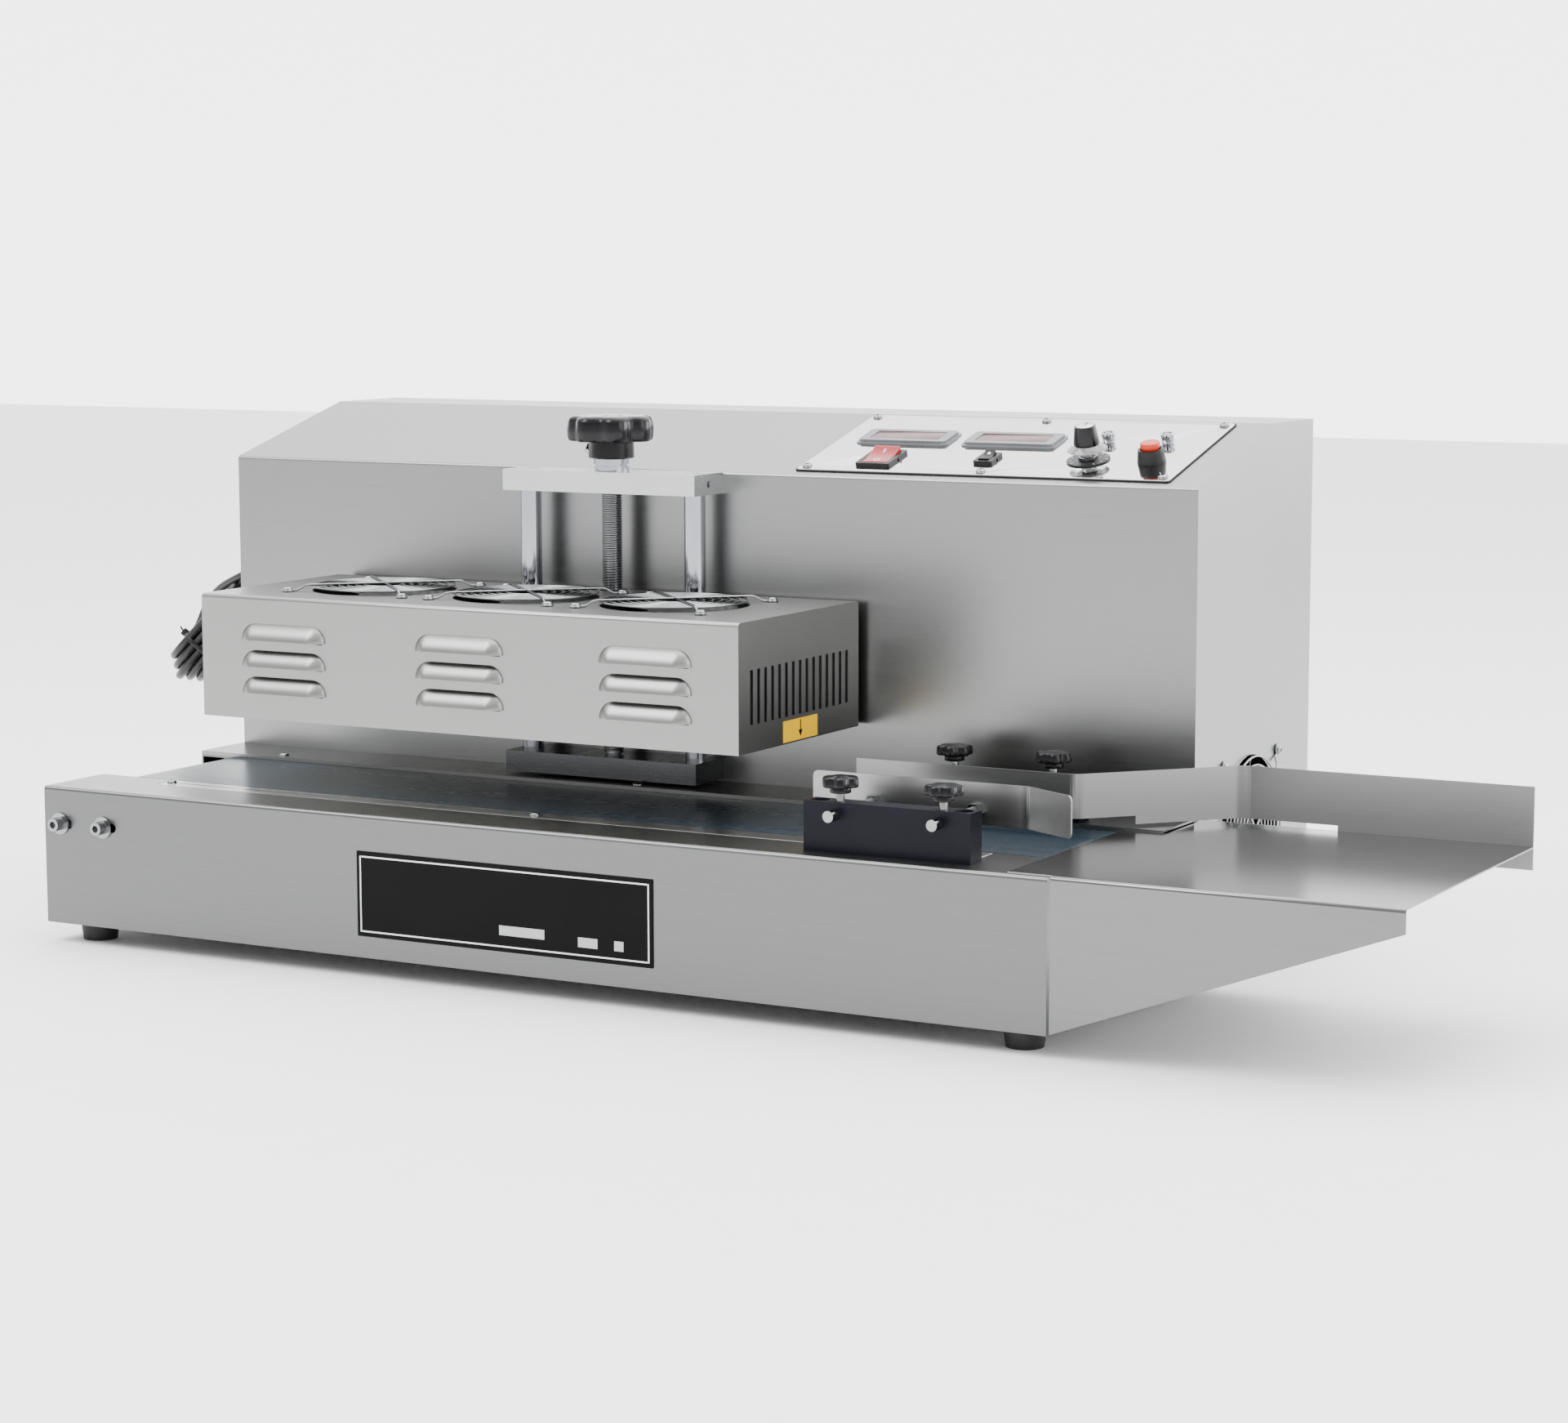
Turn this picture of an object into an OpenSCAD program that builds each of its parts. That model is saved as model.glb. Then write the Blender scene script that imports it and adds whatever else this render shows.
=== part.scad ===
// Benchtop induction cap sealer: a conveyor base with a control tower behind it,
// and a sealing head that climbs two columns on a hand-turned screw.
// Millimetres. Working frame: x from the base's left end, y from its front wall,
// z up from the table. placed() moves the finished pieces to the part's origin.

/* [Base] */
// Length of the conveyor base
base_l = 840; // [780:1:900]
// Depth from the front wall to the tower's face
base_d = 248; // [244:1:270]
// Height of the base's skirt
base_h = 105; // [100:1:125]
// Thickness of the housing sheet
sheet_t = 1.5; // [1.2:0.1:2]
// Outside radius of the sheet's bends
bend_r = 3; // [2.5:0.1:5]
// Top diameter of a rubber foot
foot_d = 30; // [24:1:36]
// Height of a rubber foot
foot_h = 15; // [10:1:25]
// Distance of a foot's centre from the walls
foot_inset = 28; // [24:1:40]
// Width of the nameplate
nameplate_w = 250; // [150:1:280]
// Height of the nameplate
nameplate_h = 62.5; // [40:0.5:70]
// Thickness of the nameplate
nameplate_t = 1; // [0.5:0.1:2]
// Nameplate's left edge from the base's left end
nameplate_x = 291.5; // [200:0.5:320]
// Nameplate's lower edge above the skirt's edge
nameplate_rise = 16; // [10:1:22]

/* [Tower] */
// Depth of the tower from its face to its rear edge
tower_d = 224; // [216:1:260]
// Height of the tower's front edge above the deck
tower_front_h = 238; // [232:1:260]
// Run of the sloped panel face
slope_run = 141; // [138:1:150]
// Rise of the sloped panel face
slope_rise = 39; // [30:1:50]
// Height of the rear deck above the base's deck
rear_deck_rise = 3; // [2.2:0.1:5]
// Width of the flange that carries the rear cover
cover_flange = 15; // [12:1:20]
// Depth of the rear cover's recess
cover_recess = 3; // [2.6:0.1:5]

/* [Belt] */
// Belt width
belt_w = 121; // [110:1:121]
// Belt thickness
belt_t = 1.5; // [1:0.1:2]
// Belt's front edge from the front wall
belt_y = 70; // [68:1:70]
// Roller diameter
roller_d = 52.4; // [44:0.1:54]
// Roller axle diameter
axle_d = 12; // [8:0.5:14]
// Distance of the roller axles from the base's ends
roller_inset = 36; // [33:0.5:40]
// Gap between a roller and the belt
roll_gap = 0.3; // [0.2:0.05:0.5]
// Thickness of the slider bed
bed_t = 2; // [1.5:0.1:4]
// Width of the strip beside the belt
strip_w = 21; // [16:1:24]
// Gap at the belt's and the strip's edges
strip_gap = 1; // [0.6:0.1:1.5]
// Distance between the two tension bolts
tension_pitch = 41.3; // [36:0.1:44]
// Diameter of the tension bolts
tension_bolt_d = 6; // [5:1:8]

/* [Lift] */
// Lift screw's place along the base
lift_x = 370; // [340:1:400]
// Metal between a column's axis and the lift block's end
block_end = 12; // [11:0.5:20]
// Depth of the lift blocks
block_d = 42; // [40:1:46]
// Thickness of the lift blocks
block_h = 16; // [14:1:22]
// Gap between the lower block and the rear deck
block_gap = 2; // [1:0.5:4]
// Distance between the two columns
column_pitch = 146; // [136:1:148]
// Column diameter
column_d = 16; // [12:1:18]
// Lift screw diameter
screw_d = 16; // [12:1:18]
// Diameter of the lift knob
knob_d = 67; // [56:1:76]
// Height of the lift knob's grip
knob_h = 20; // [16:1:26]
// Diameter of the lift knob's hub
knob_hub_d = 35; // [30:1:40]
// Height of the lift knob's hub
knob_hub_h = 13; // [12:1:20]
// Diameter of the thrust bearing
thrust_d = 27; // [24:1:32]
// Height of the thrust bearing
thrust_h = 9; // [6:1:12]

/* [Sealing head] */
// Length of the head
head_l = 468; // [460:1:500]
// Depth of the head
head_d = 179; // [177:1:182]
// Height of the head
head_h = 93; // [90:1:100]
// Head's centre from the lift screw, to the left
head_offset = 29; // [24:1:34]
// Gap between the head's back and the tower's face
head_back_gap = 8; // [6:0.5:9]
// Height of the head's underside above the deck at rest
head_rise = 54; // [50:1:60]
// Thickness of the head's sheet
head_t = 1.2; // [1:0.1:1.5]
// Thickness of the insulating plate under the head
head_plate_t = 4; // [3:0.5:6]
// Size of the square cooling fans
fan_size = 120; // [119:1:121]
// Distance between a fan's fixing holes
fan_holes = 105; // [104:0.5:106]
// Thickness of a fan's frame
fan_t = 25; // [20:1:28]
// Diameter of a fan's air passage
fan_bore = 114; // [108:1:115]
// Distance between the fans on the head
fan_pitch = 129; // [126:1:134]
// Fan centres behind the head's front
fan_back = 90.5; // [88:0.5:92]
// Height of the wire guards
guard_rise = 6; // [5:0.5:9]
// Thickness of the guard wire
wire_d = 2; // [1.6:0.1:2.4]
// Length of a louver
louver_l = 75; // [60:1:90]
// Height of a louver
louver_h = 11.5; // [8:0.5:13]
// Distance that a louver stands out
louver_out = 8; // [6:0.5:9]
// Height of the edge along a louver's lip
louver_lip = 1.5; // [1.2:0.1:2.5]
// Height between louver rows
louver_rows = 20; // [18:0.5:22]
// Distance between louver columns
louver_columns = 158; // [140:1:165]
// Lowest louver's lip above the head's underside
louver_rise = 20; // [16:0.5:22]
// Number of end slots
slot_n = 15; // [9:1:15]
// Width of an end slot
slot_w = 4; // [3:0.5:5]
// Height of an end slot
slot_h = 39; // [30:1:44]
// Distance between end slots
slot_pitch = 10.1; // [8:0.1:10.4]
// Lower end of the slots above the head's underside
slot_rise = 19.5; // [14:0.5:24]

/* [Control panel] */
// Width of the panel
panel_w = 300; // [296:1:310]
// Height of the panel along the slope
panel_h = 131; // [126:1:132]
// Thickness of the panel
panel_t = 1.5; // [1:0.1:2]
// Panel's right edge from the tower's right end
panel_right = 26.5; // [20:0.5:40]
// Panel's lower edge from the tower's front edge
panel_low = 9; // [5:0.5:12]
// Width of a meter's bezel
meter_w = 77; // [70:1:80]
// Height of a meter's bezel
meter_h = 30; // [26:1:32]
// Thickness of a meter's bezel
meter_t = 3; // [2.5:0.5:6]
// Diameter of the speed dial's disc
dial_d = 32; // [28:1:34]
// Diameter of the push button's cap
button_d = 14.5; // [12:0.5:16]

/* [Guides and tray] */
// Length of a guide block
guide_l = 126; // [120:1:132]
// Thickness of a guide block
guide_t = 17; // [16:1:19]
// Height of a guide block's top above the deck
guide_h = 34.5; // [33:0.5:38]
// Guide blocks' right end from the base's right end
guide_right = 64.5; // [60:0.5:70]
// Front guide block's face from the front wall
guide_front = 19; // [16:1:22]
// Distance between the rods of a guide
rod_pitch = 78; // [72:1:84]
// Rod diameter
rod_d = 8; // [6:0.5:9]
// Rods' depth below the guide block's top
rod_drop = 8.5; // [7:0.5:12]
// Front plate's place behind the front wall
plate_y = 77; // [72:1:80]
// Height of the front plate
plate_h = 29; // [26:1:32]
// Rear fence's place behind the front wall
fence_y = 164; // [158:1:170]
// Top of the fence above the deck
fence_h = 42.5; // [40:0.5:46]
// Thickness of the guide and tray sheet
plate_t = 1.2; // [1:0.1:1.5]
// Diameter of a clamp knob
clamp_d = 26.5; // [22:0.5:30]
// Length of the infeed tray past the base
tray_l = 243; // [220:1:260]
// Length of tray that laps over the deck
tray_lap = 30; // [25:1:32]
// Depth of the infeed tray
tray_d = 259; // [258:1:262]
// Depth of the tray's skirt at its outer end
tray_lip = 15; // [12:1:20]

/* [Fits] */
// Radial running clearance of shafts in bores
run_fit = 0.05; // [0.02:0.01:0.08]
// Gap between moving faces
move_gap = 0.4; // [0.3:0.05:0.6]

/* [Hidden] */
$fn = 64;

// Finishes
steel = "#b9bcbe";
bright = "#d9dbdd";
dark_steel = "#6f7276";
black = "#1c1c20";
blue_belt = "#51646f";
brass_tone = "#b9954c";
over = 1;

// Floor plate and screw holes
floor_t = 2;
floor_gap = 0.2;
floor_z = foot_h + floor_t;
foot_taper = 4;
pan_hole_d = 4;
cover_low = floor_z + 1;
panel_corner = 3;

// Levels
deck_z = foot_h + base_h;
rear_deck_z = deck_z + rear_deck_rise;
edge_z = deck_z + tower_front_h;
top_z = edge_z + slope_rise;
rear_y = base_d + tower_d;
slope_a = atan2(slope_rise, slope_run);
bed_z = deck_z - sheet_t;
rear_deck_y = belt_y + belt_w + strip_gap;
rear_deck_d = base_d - rear_deck_y;
axle_z = bed_z - roll_gap - roller_d / 2;
belt_r = roller_d / 2 + roll_gap;
belt_room = 12;

// Tension bolts set how far the part reaches forward
bolt_head_d = tension_bolt_d + 4;
bolt_head_h = tension_bolt_d + 2;
washer_d = tension_bolt_d + 10.5;
washer_t = 1.5;
front_reach = bolt_head_h + washer_t;
slot_len = tension_bolt_d + 14;
slot_shift = 2;

// Frame
mid_x = (base_l + tray_l) / 2;
mid_y = (rear_y - front_reach) / 2;

// Rollers and bed
roller_ends = [roller_inset, base_l - roller_inset];
carrier_t = 8;
carrier_h = 36;
carrier_w = tension_pitch + tension_bolt_d + 7;
rear_carrier_w = 40;
rear_carrier_y = belt_y + belt_w + 9;
bed_x = roller_inset + roller_d / 2 + 6;
strip_y = belt_y - strip_gap - strip_w;
bed_y = strip_y - 16;
strip_x = bed_x + 4;
bed_screws = [bed_x + 8, base_l / 2 - 13, base_l - bed_x - 34];
rear_bed_screws = [bed_screws[0], bed_screws[1]];
rear_screw_y = belt_y + belt_w + 10;
bed_back = rear_screw_y + 19;

// Screws with round heads
pan_d = 7.5;
pan_h = 2.2;
pan_shank_d = 3.5;
pan_shank_l = 7;

// Lift
block_l = column_pitch + 2 * block_end;
column_y = base_d - block_d / 2;
column_x = [lift_x - column_pitch / 2, lift_x + column_pitch / 2];
upper_z = edge_z - block_h;
lower_z = rear_deck_z + block_gap;
journal_d = screw_d - 4;
journal_l = 10;
block_bolt_d = 6;
block_bolt_pitch = block_l - 60;
block_bolt_l = 12;
block_tap_l = block_bolt_l + 2;
cross_hole = [5, 8];
hub_z = edge_z + thrust_h + move_gap;

// Head
head_x = lift_x - head_offset - head_l / 2;
head_back = base_d - head_back_gap;
head_y = head_back - head_d;
head_z = deck_z + head_rise;
head_top = head_z + head_h;
fan_y = head_y + fan_back;
fan_x = [for (i = [-1 : 1]) head_x + head_l / 2 + i * fan_pitch];
fan_top = head_top - head_t;
passage = column_d + 4;
carriage_d = 2 * (head_back - head_t - column_y);
carriage_h = 50;
carriage_l = column_pitch + 28;
bushing_d = column_d + 4;
nut_d = screw_d + 4;
carriage_z = head_z + head_plate_t;
coil_t = 8;
coil_w = 38;
coil_edge = 16;
ferrite_w = 14;
ferrite_t = 10;
ferrite_n = 8;
ferrite_edge = 60;

// Fans
hub_d = 40;
fan_blades = 7;
blade_gap = 2;
fan_pin_d = 6;
fan_hole_d = 4.3;
strut_t = 4;
guard_rings = 7;
guard_r = fan_bore / 2 - 3;
ring_step = 6.5;
guard_tab_d = 9;
guard_tab_t = 1.5;
guard_step = [16, 5];
tower_fan_in = 106;
tower_fan_rise = 86;
tower_fan_y = base_d + tower_fan_in;
tower_fan_z = foot_h + tower_fan_rise;

// Panel controls, along and up the panel from its lower left corner
panel_x = base_l - panel_right - panel_w;
panel_inset = 6.5;
panel_frame = 11;
meter_at = [[57.4, 76], [145.5, 76]];
meter_depth = 38;
main_switch_at = [58.5, 27];
main_switch = [28, 33];
small_switch_at = [143.5, 33];
small_switch = [15, 21];
knob_at = [221.6, 38.8];
lamps_at = [[219.3, 82], [265.5, 83.5]];
button_at = [271, 39.5];
rocker_tilt = 9;
rocker_pin_d = 2.5;
rocker_pin_in = 2.4;
switch_rim = 2.5;
rim_lap = [4, 4];
small_rim_lap = [3, 3];
body_gap = 0.4;
meter_step = 2;
window_frame = [19, 13];
well_frame = [6, 5];
switch_depth = 20;
button_out = 10;
button_travel = 3;
lamp_d = 10;
lamp_h = 7;
shaft_d = 6;
dial_gap = 8;
dial_skirt_h = 4;
dial_grip_h = 16;

// Guides
guide_x = base_l - guide_right - guide_l;
rear_guide_y = belt_y + belt_w + 2;
rod_x = [guide_x + guide_l / 2 - rod_pitch / 2, guide_x + guide_l / 2 + rod_pitch / 2];
rod_z = deck_z + guide_h - rod_drop;
rod_front = guide_front - 10;
stem_d = 6;
guide_bore = [13, 8];
guide_bore_in = 9;
clamp_h = 12;
clamp_z = deck_z + guide_h + 5.5;
clamp_y = [guide_front + guide_t / 2, rear_guide_y + guide_t / 2];
plate_z = rod_z - plate_h / 2 + 5.5;
plate_left = guide_x - 24;
plate_right = guide_x + guide_l + 14;
flare = [plate_right + 1.5 * plate_h, plate_y - 0.86 * plate_h];
fence_left = guide_x - 36;
fence_bend = [guide_x + guide_l + 10, fence_y];
fence_back = [base_l + 32, tray_d];
fence_line = [[fence_left, fence_y], fence_bend, fence_back, [base_l + tray_l, tray_d]];
fence_low = deck_z + 11;
fence_step_x = fence_bend[0] + 31;
fence_tray_in = 103;
fence_tray_x = base_l + fence_tray_in;
fence_step_low = deck_z + 5;
sheet_bend = 14;
plate_corner = 4;
tray_top = deck_z + plate_t;
tray_end = base_l + tray_l;
tray_gap = 2;

// Cord: its free run goes through points past the gland's plane, down to the hank's rear run
cord_d = 7;
cord_sides = 10;
cord_plane = base_d + 68;
cord_steps = [[-32, 0, 255.5], [-43, 0, 255], [-53.8, 0.5, 251.5], [-76.9, 6, 241.5], [-91.2, 9.5, 231],
    [-101.2, 12.6, 220], [-106.5, 12.5, 209.5], [-110.9, 10.1, 199.8]];
cord_route = [for (p = cord_steps) p + [0, cord_plane, 0]];
hank_low = [-111, -14, 164];
hank_yaw = 29;
hank_lean = 48;
hank_l = 112;
hank_fold = 21;
hank_turns = 5;
hank_step = 5;
hank_sink = 3;
hank_w = 2 * hank_fold + cord_d;
hank_end = hank_l - hank_w / 2;
gland_l = 32;
gland_d = 20;
gland_nut = 8;
plug_d = 28;
plug_l = 36;
plug_taper_l = 24;
plug_pins = [19, 4.8, 17];
plug_side = hank_w / 2 + plug_d / 2 + 0.3;

// Shared shapes

module placed() translate([-mid_x, -mid_y, 0]) children();

module cyl_x(d, l) rotate([0, 90, 0]) cylinder(d = d, h = l);

module cyl_y(d, l) rotate([-90, 0, 0]) cylinder(d = d, h = l);

// Turns a drawing in y and z into a bar along x
module along_x(l) rotate([90, 0, 90]) linear_extrude(l) children();

// Turns a drawing in x and z into a plate that starts at y and runs back
module along_y(l) translate([0, l, 0]) rotate([90, 0, 0]) linear_extrude(l) children();

// Rectangle with four round corners
module round_rect(w, h, r) {
    translate([r, 0]) square([w - 2 * r, h]);
    translate([0, r]) square([w, h - 2 * r]);
    for (x = [r, w - r], y = [r, h - r]) translate([x, y]) circle(r);
}

// Rectangle whose upper left corner is round
module corner_block(w, h, r) {
    translate([r, 0]) square([w - r, h]);
    square([w, h - r]);
    translate([r, h - r]) circle(r);
}

// Rectangle whose two upper corners are round
module arch_block(w, h, r) {
    corner_block(w / 2 + over, h, r);
    translate([w, 0]) mirror([1, 0]) corner_block(w / 2 + over, h, r);
}

// Slot with round ends, centred
module slot_shape(l, w) {
    square([l - w, w], center = true);
    for (s = [-1, 1]) translate([s * (l - w) / 2, 0]) circle(d = w);
}

function turn_left(v) = [-v[1], v[0]];
function unit(v) = v / norm(v);

// Sheet bent along a line of points, drawn from above; its thickness lies to the left of the line
bend_step = 8;

function bend_turn(pts, i) = let (u = unit(pts[i] - pts[i - 1]), v = unit(pts[i + 1] - pts[i]))
    atan2(u[0] * v[1] - u[1] * v[0], u * v);

// Points of one bend, a given distance to the left of the line
function bend_points(pts, i, r, off) =
    let (u = unit(pts[i] - pts[i - 1]), turn = bend_turn(pts, i), side = sign(turn))
    let (start = pts[i] - r * tan(abs(turn) / 2) * u, centre = start + side * r * turn_left(u))
    let (from = atan2(start[1] - centre[1], start[0] - centre[0]), steps = ceil(abs(turn) / bend_step))
    [for (k = [0 : steps]) let (a = from + k * turn / steps) centre + (r - side * off) * [cos(a), sin(a)]];

function sheet_side(pts, r, off) = let (n = len(pts))
    [for (i = [0 : n - 1]) each
        i == 0 ? [pts[0] + off * turn_left(unit(pts[1] - pts[0]))]
        : i == n - 1 ? [pts[i] + off * turn_left(unit(pts[i] - pts[i - 1]))]
        : bend_points(pts, i, r, off)];

module bent_sheet(pts, r, t) {
    near = sheet_side(pts, r, 0);
    far = sheet_side(pts, r, t);
    polygon(concat(near, [for (i = [len(far) - 1 : -1 : 0]) far[i]]));
}

// Round-headed screw, head upwards, seat at the origin
module pan_screw(shank_l = pan_shank_l) {
    cylinder(d = pan_d, h = pan_h);
    translate([0, 0, -shank_l]) cylinder(d = pan_shank_d, h = shank_l + over / 2);
}

// Star grip with hollows between its lobes
module star_grip(d, h, lobes) linear_extrude(h) difference() {
    circle(d = d);
    for (i = [0 : lobes - 1]) rotate(i * 360 / lobes) translate([d * 0.56, 0]) circle(d = d * 0.3);
}

module fan_corners() {
    for (sx = [-1, 1], sy = [-1, 1]) translate([sx * fan_holes / 2, sy * fan_holes / 2, 0]) children();
}

// Fan frame from z = 0 downwards, with its struts and bearing at the bottom
module fan_frame() translate([0, 0, -fan_t]) difference() {
    union() {
        linear_extrude(fan_t) difference() {
            translate([-fan_size / 2, -fan_size / 2]) round_rect(fan_size, fan_size, 5);
            circle(d = fan_bore);
        }
        cylinder(d = hub_d, h = strut_t);
        for (a = [45, 135]) rotate(a)
            translate([-fan_bore / 2 - 1, -strut_t, 0]) cube([fan_bore + 2, 2 * strut_t, strut_t]);
    }
    translate([0, 0, -over]) fan_corners() cylinder(d = fan_hole_d, h = fan_t + 2 * over);
    translate([0, 0, -over]) cylinder(d = fan_pin_d + 2 * run_fit, h = strut_t + 2 * over);
}

// Fan rotor below z = 0: hub, pin and pitched blades
module fan_rotor() translate([0, 0, -fan_t + strut_t + move_gap]) {
    rotor_h = fan_t - strut_t - 3;
    union() {
        cylinder(d = hub_d, h = rotor_h);
        translate([0, 0, -strut_t]) cylinder(d = fan_pin_d, h = strut_t + over);
        intersection() {
            difference() {
                cylinder(d = fan_bore - 2 * blade_gap, h = rotor_h);
                translate([0, 0, -over]) cylinder(d = hub_d - 4, h = rotor_h + 2 * over);
            }
            for (i = [0 : fan_blades - 1]) rotate(i * 360 / fan_blades)
                translate([fan_bore / 4, 0, rotor_h / 2]) rotate([38, 0, 0])
                    cube([fan_bore / 2, 30, 1.6], center = true);
        }
    }
}

// Wire guard on z = 0: rings under two bars that step down to four tabs
module fan_guard() {
    corner = fan_holes / sqrt(2);
    step_in = corner - guard_step[0];
    step_out = corner - guard_step[1];
    bar_z = guard_rise - wire_d;
    ring_z = bar_z - 0.9 * wire_d;
    leg = norm([step_out - step_in, bar_z]);
    for (i = [0 : guard_rings - 1]) translate([0, 0, ring_z]) difference() {
        cylinder(r = guard_r - i * ring_step + wire_d / 2, h = wire_d);
        translate([0, 0, -over]) cylinder(r = guard_r - i * ring_step - wire_d / 2, h = wire_d + 2 * over);
    }
    for (a = [45 : 90 : 315]) rotate(a) {
        translate([0, -wire_d / 2, bar_z]) cube([step_in, wire_d, wire_d]);
        translate([step_in, -wire_d / 2, bar_z]) rotate([0, atan2(bar_z, step_out - step_in), 0])
            cube([leg, wire_d, wire_d]);
        translate([step_in - wire_d, -wire_d / 2, bar_z]) cube([2 * wire_d, wire_d, wire_d]);
        difference() {
            union() {
                translate([corner, 0, 0]) cylinder(d = guard_tab_d, h = guard_tab_t);
                translate([step_out - wire_d, -wire_d / 2, 0]) cube([3 * wire_d, wire_d, guard_tab_t]);
            }
            translate([corner, 0, -over]) cylinder(d = fan_hole_d, h = guard_tab_t + 2 * over);
        }
    }
}

module on_slope() translate([0, base_d, edge_z]) rotate([slope_a, 0, 0]) children();

// Panel frame: origin on the panel's upper face at its lower left corner
module on_panel(at = [0, 0]) on_slope() translate([panel_x + at[0], panel_low + at[1], panel_t]) children();

// Base

module base_section() difference() {
    corner_block(base_d, base_h, bend_r);
    translate([sheet_t, -over]) corner_block(base_d, base_h - sheet_t + over, bend_r - sheet_t);
}

module base_housing() placed() color(steel) difference() {
    union() {
        translate([0, 0, foot_h]) along_x(base_l) base_section();
        for (x = [0, base_l - sheet_t]) translate([x, sheet_t / 2, foot_h])
            cube([sheet_t, base_d - sheet_t / 2, base_h - sheet_t / 2]);
    }
    translate([-over, belt_y - strip_gap, axle_z - belt_r - belt_room])
        cube([base_l + 2 * over, belt_w + 2 * strip_gap, base_h]);
    translate([strip_x - strip_gap, strip_y - strip_gap, bed_z - over])
        cube([base_l - 2 * strip_x + 2 * strip_gap, strip_w + 3 * strip_gap, base_h]);
    for (s = [-1, 1]) translate([roller_inset + s * tension_pitch / 2 + slot_shift, -over, axle_z])
        along_y(sheet_t + 2 * over) slot_shape(slot_len, tension_bolt_d + 1);
    for (x = rear_bed_screws) translate([x, rear_screw_y, bed_z - over])
        cylinder(d = pan_hole_d, h = sheet_t + 2 * over);
}

module base_floor() placed() color(dark_steel) {
    edge = sheet_t + floor_gap;
    translate([edge, edge, foot_h])
        cube([base_l - 2 * edge, rear_y - cover_recess - sheet_t - 2 * edge, floor_t]);
}

module rubber_feet() placed() color(black)
    for (x = [foot_inset, base_l - foot_inset], y = [foot_inset, rear_y - foot_inset])
        translate([x, y, 0]) cylinder(d1 = foot_d - foot_taper, d2 = foot_d, h = foot_h);

module nameplate() placed() color(black)
    translate([nameplate_x, -nameplate_t, foot_h + nameplate_rise])
        cube([nameplate_w, nameplate_t, nameplate_h]);

// Tower

// Section of the tower's sheet, from its rear edge over the slope and down its face
tower_line = [[rear_y, top_z], [base_d + slope_run, top_z], [base_d, edge_z],
    [base_d, rear_deck_z - sheet_t]];
tower_end = concat(sheet_side(tower_line, bend_r, 0), [[base_d, foot_h], [rear_y, foot_h]]);

module tower_shell() placed() color(steel) difference() {
    union() {
        along_x(base_l) bent_sheet(tower_line, bend_r, sheet_t);
        for (x = [0, base_l - sheet_t]) translate([x, 0, 0]) along_x(sheet_t) polygon(tower_end);
        cover_flange_frame();
        rear_deck();
    }
    on_slope() translate([panel_x + panel_frame, panel_low + panel_frame, -sheet_t - over])
        cube([panel_w - 2 * panel_frame, panel_h - 2 * panel_frame, sheet_t + 2 * over]);
    on_panel() panel_screw_places() translate([0, 0, -pan_shank_l])
        cylinder(d = pan_hole_d, h = pan_shank_l + over);
    for (z = [upper_z, lower_z], s = [-1, 1])
        translate([lift_x + s * block_bolt_pitch / 2, base_d - over, z + block_h / 2])
            cyl_y(block_bolt_d + 0.5, sheet_t + 2 * over);
    for (x = rear_bed_screws) translate([x, rear_screw_y, deck_z])
        cylinder(d = pan_hole_d, h = 2 * rear_deck_rise);
    translate([base_l - sheet_t - over, tower_fan_y, tower_fan_z]) {
        cyl_x(fan_bore - 4, sheet_t + 2 * over);
        rotate([0, 90, 0]) fan_corners() cylinder(d = fan_hole_d, h = sheet_t + 2 * over);
    }
    translate([-over, cord_plane, cord_route[0][2]]) cyl_x(gland_d - 6, sheet_t + 2 * over);
    cover_screw_places() translate([0, -sheet_t - over, 0]) cyl_y(pan_hole_d, sheet_t + 2 * over);
}

// Inward flange that the rear cover is screwed to
module cover_flange_frame() {
    low = foot_h + floor_t + floor_gap;
    inner = [base_l - 2 * cover_flange, top_z - foot_h - 2 * cover_flange];
    translate([0, rear_y - cover_recess - 2 * sheet_t, 0]) along_y(sheet_t) difference() {
        translate([sheet_t / 2, low]) square([base_l - sheet_t, top_z - low - sheet_t / 2]);
        translate([cover_flange, foot_h + cover_flange]) square(inner);
    }
}

// Deck folded forward from the tower's face, with its front edge turned down
module rear_deck() {
    translate([0, rear_deck_y, rear_deck_z - sheet_t]) cube([base_l, rear_deck_d + sheet_t / 2, sheet_t]);
    translate([0, rear_deck_y, deck_z]) cube([base_l, sheet_t, rear_deck_rise - sheet_t / 2]);
}

module rear_cover() placed() color(steel)
    difference() {
        translate([2 * sheet_t, rear_y - cover_recess - sheet_t, cover_low]) along_y(sheet_t)
            round_rect(base_l - 4 * sheet_t, top_z - cover_low - 2 * sheet_t, panel_corner);
        cover_screw_places() translate([0, -over, 0]) cyl_y(pan_hole_d, sheet_t + 2 * over);
    }

// Seats of the rear cover's screws, on the flange's rear face
module cover_screw_places() {
    low = foot_h + cover_flange / 2 + 2;
    high = top_z - cover_flange / 2;
    for (x = [cover_flange / 2, base_l / 2, base_l - cover_flange / 2], z = [low, high])
        translate([x, rear_y - cover_recess - sheet_t, z]) children();
}

module panel_screw_places() {
    for (x = [panel_inset, panel_w / 2, panel_w - panel_inset], y = [panel_inset, panel_h - panel_inset])
        translate([x, y, 0]) children();
}

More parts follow.
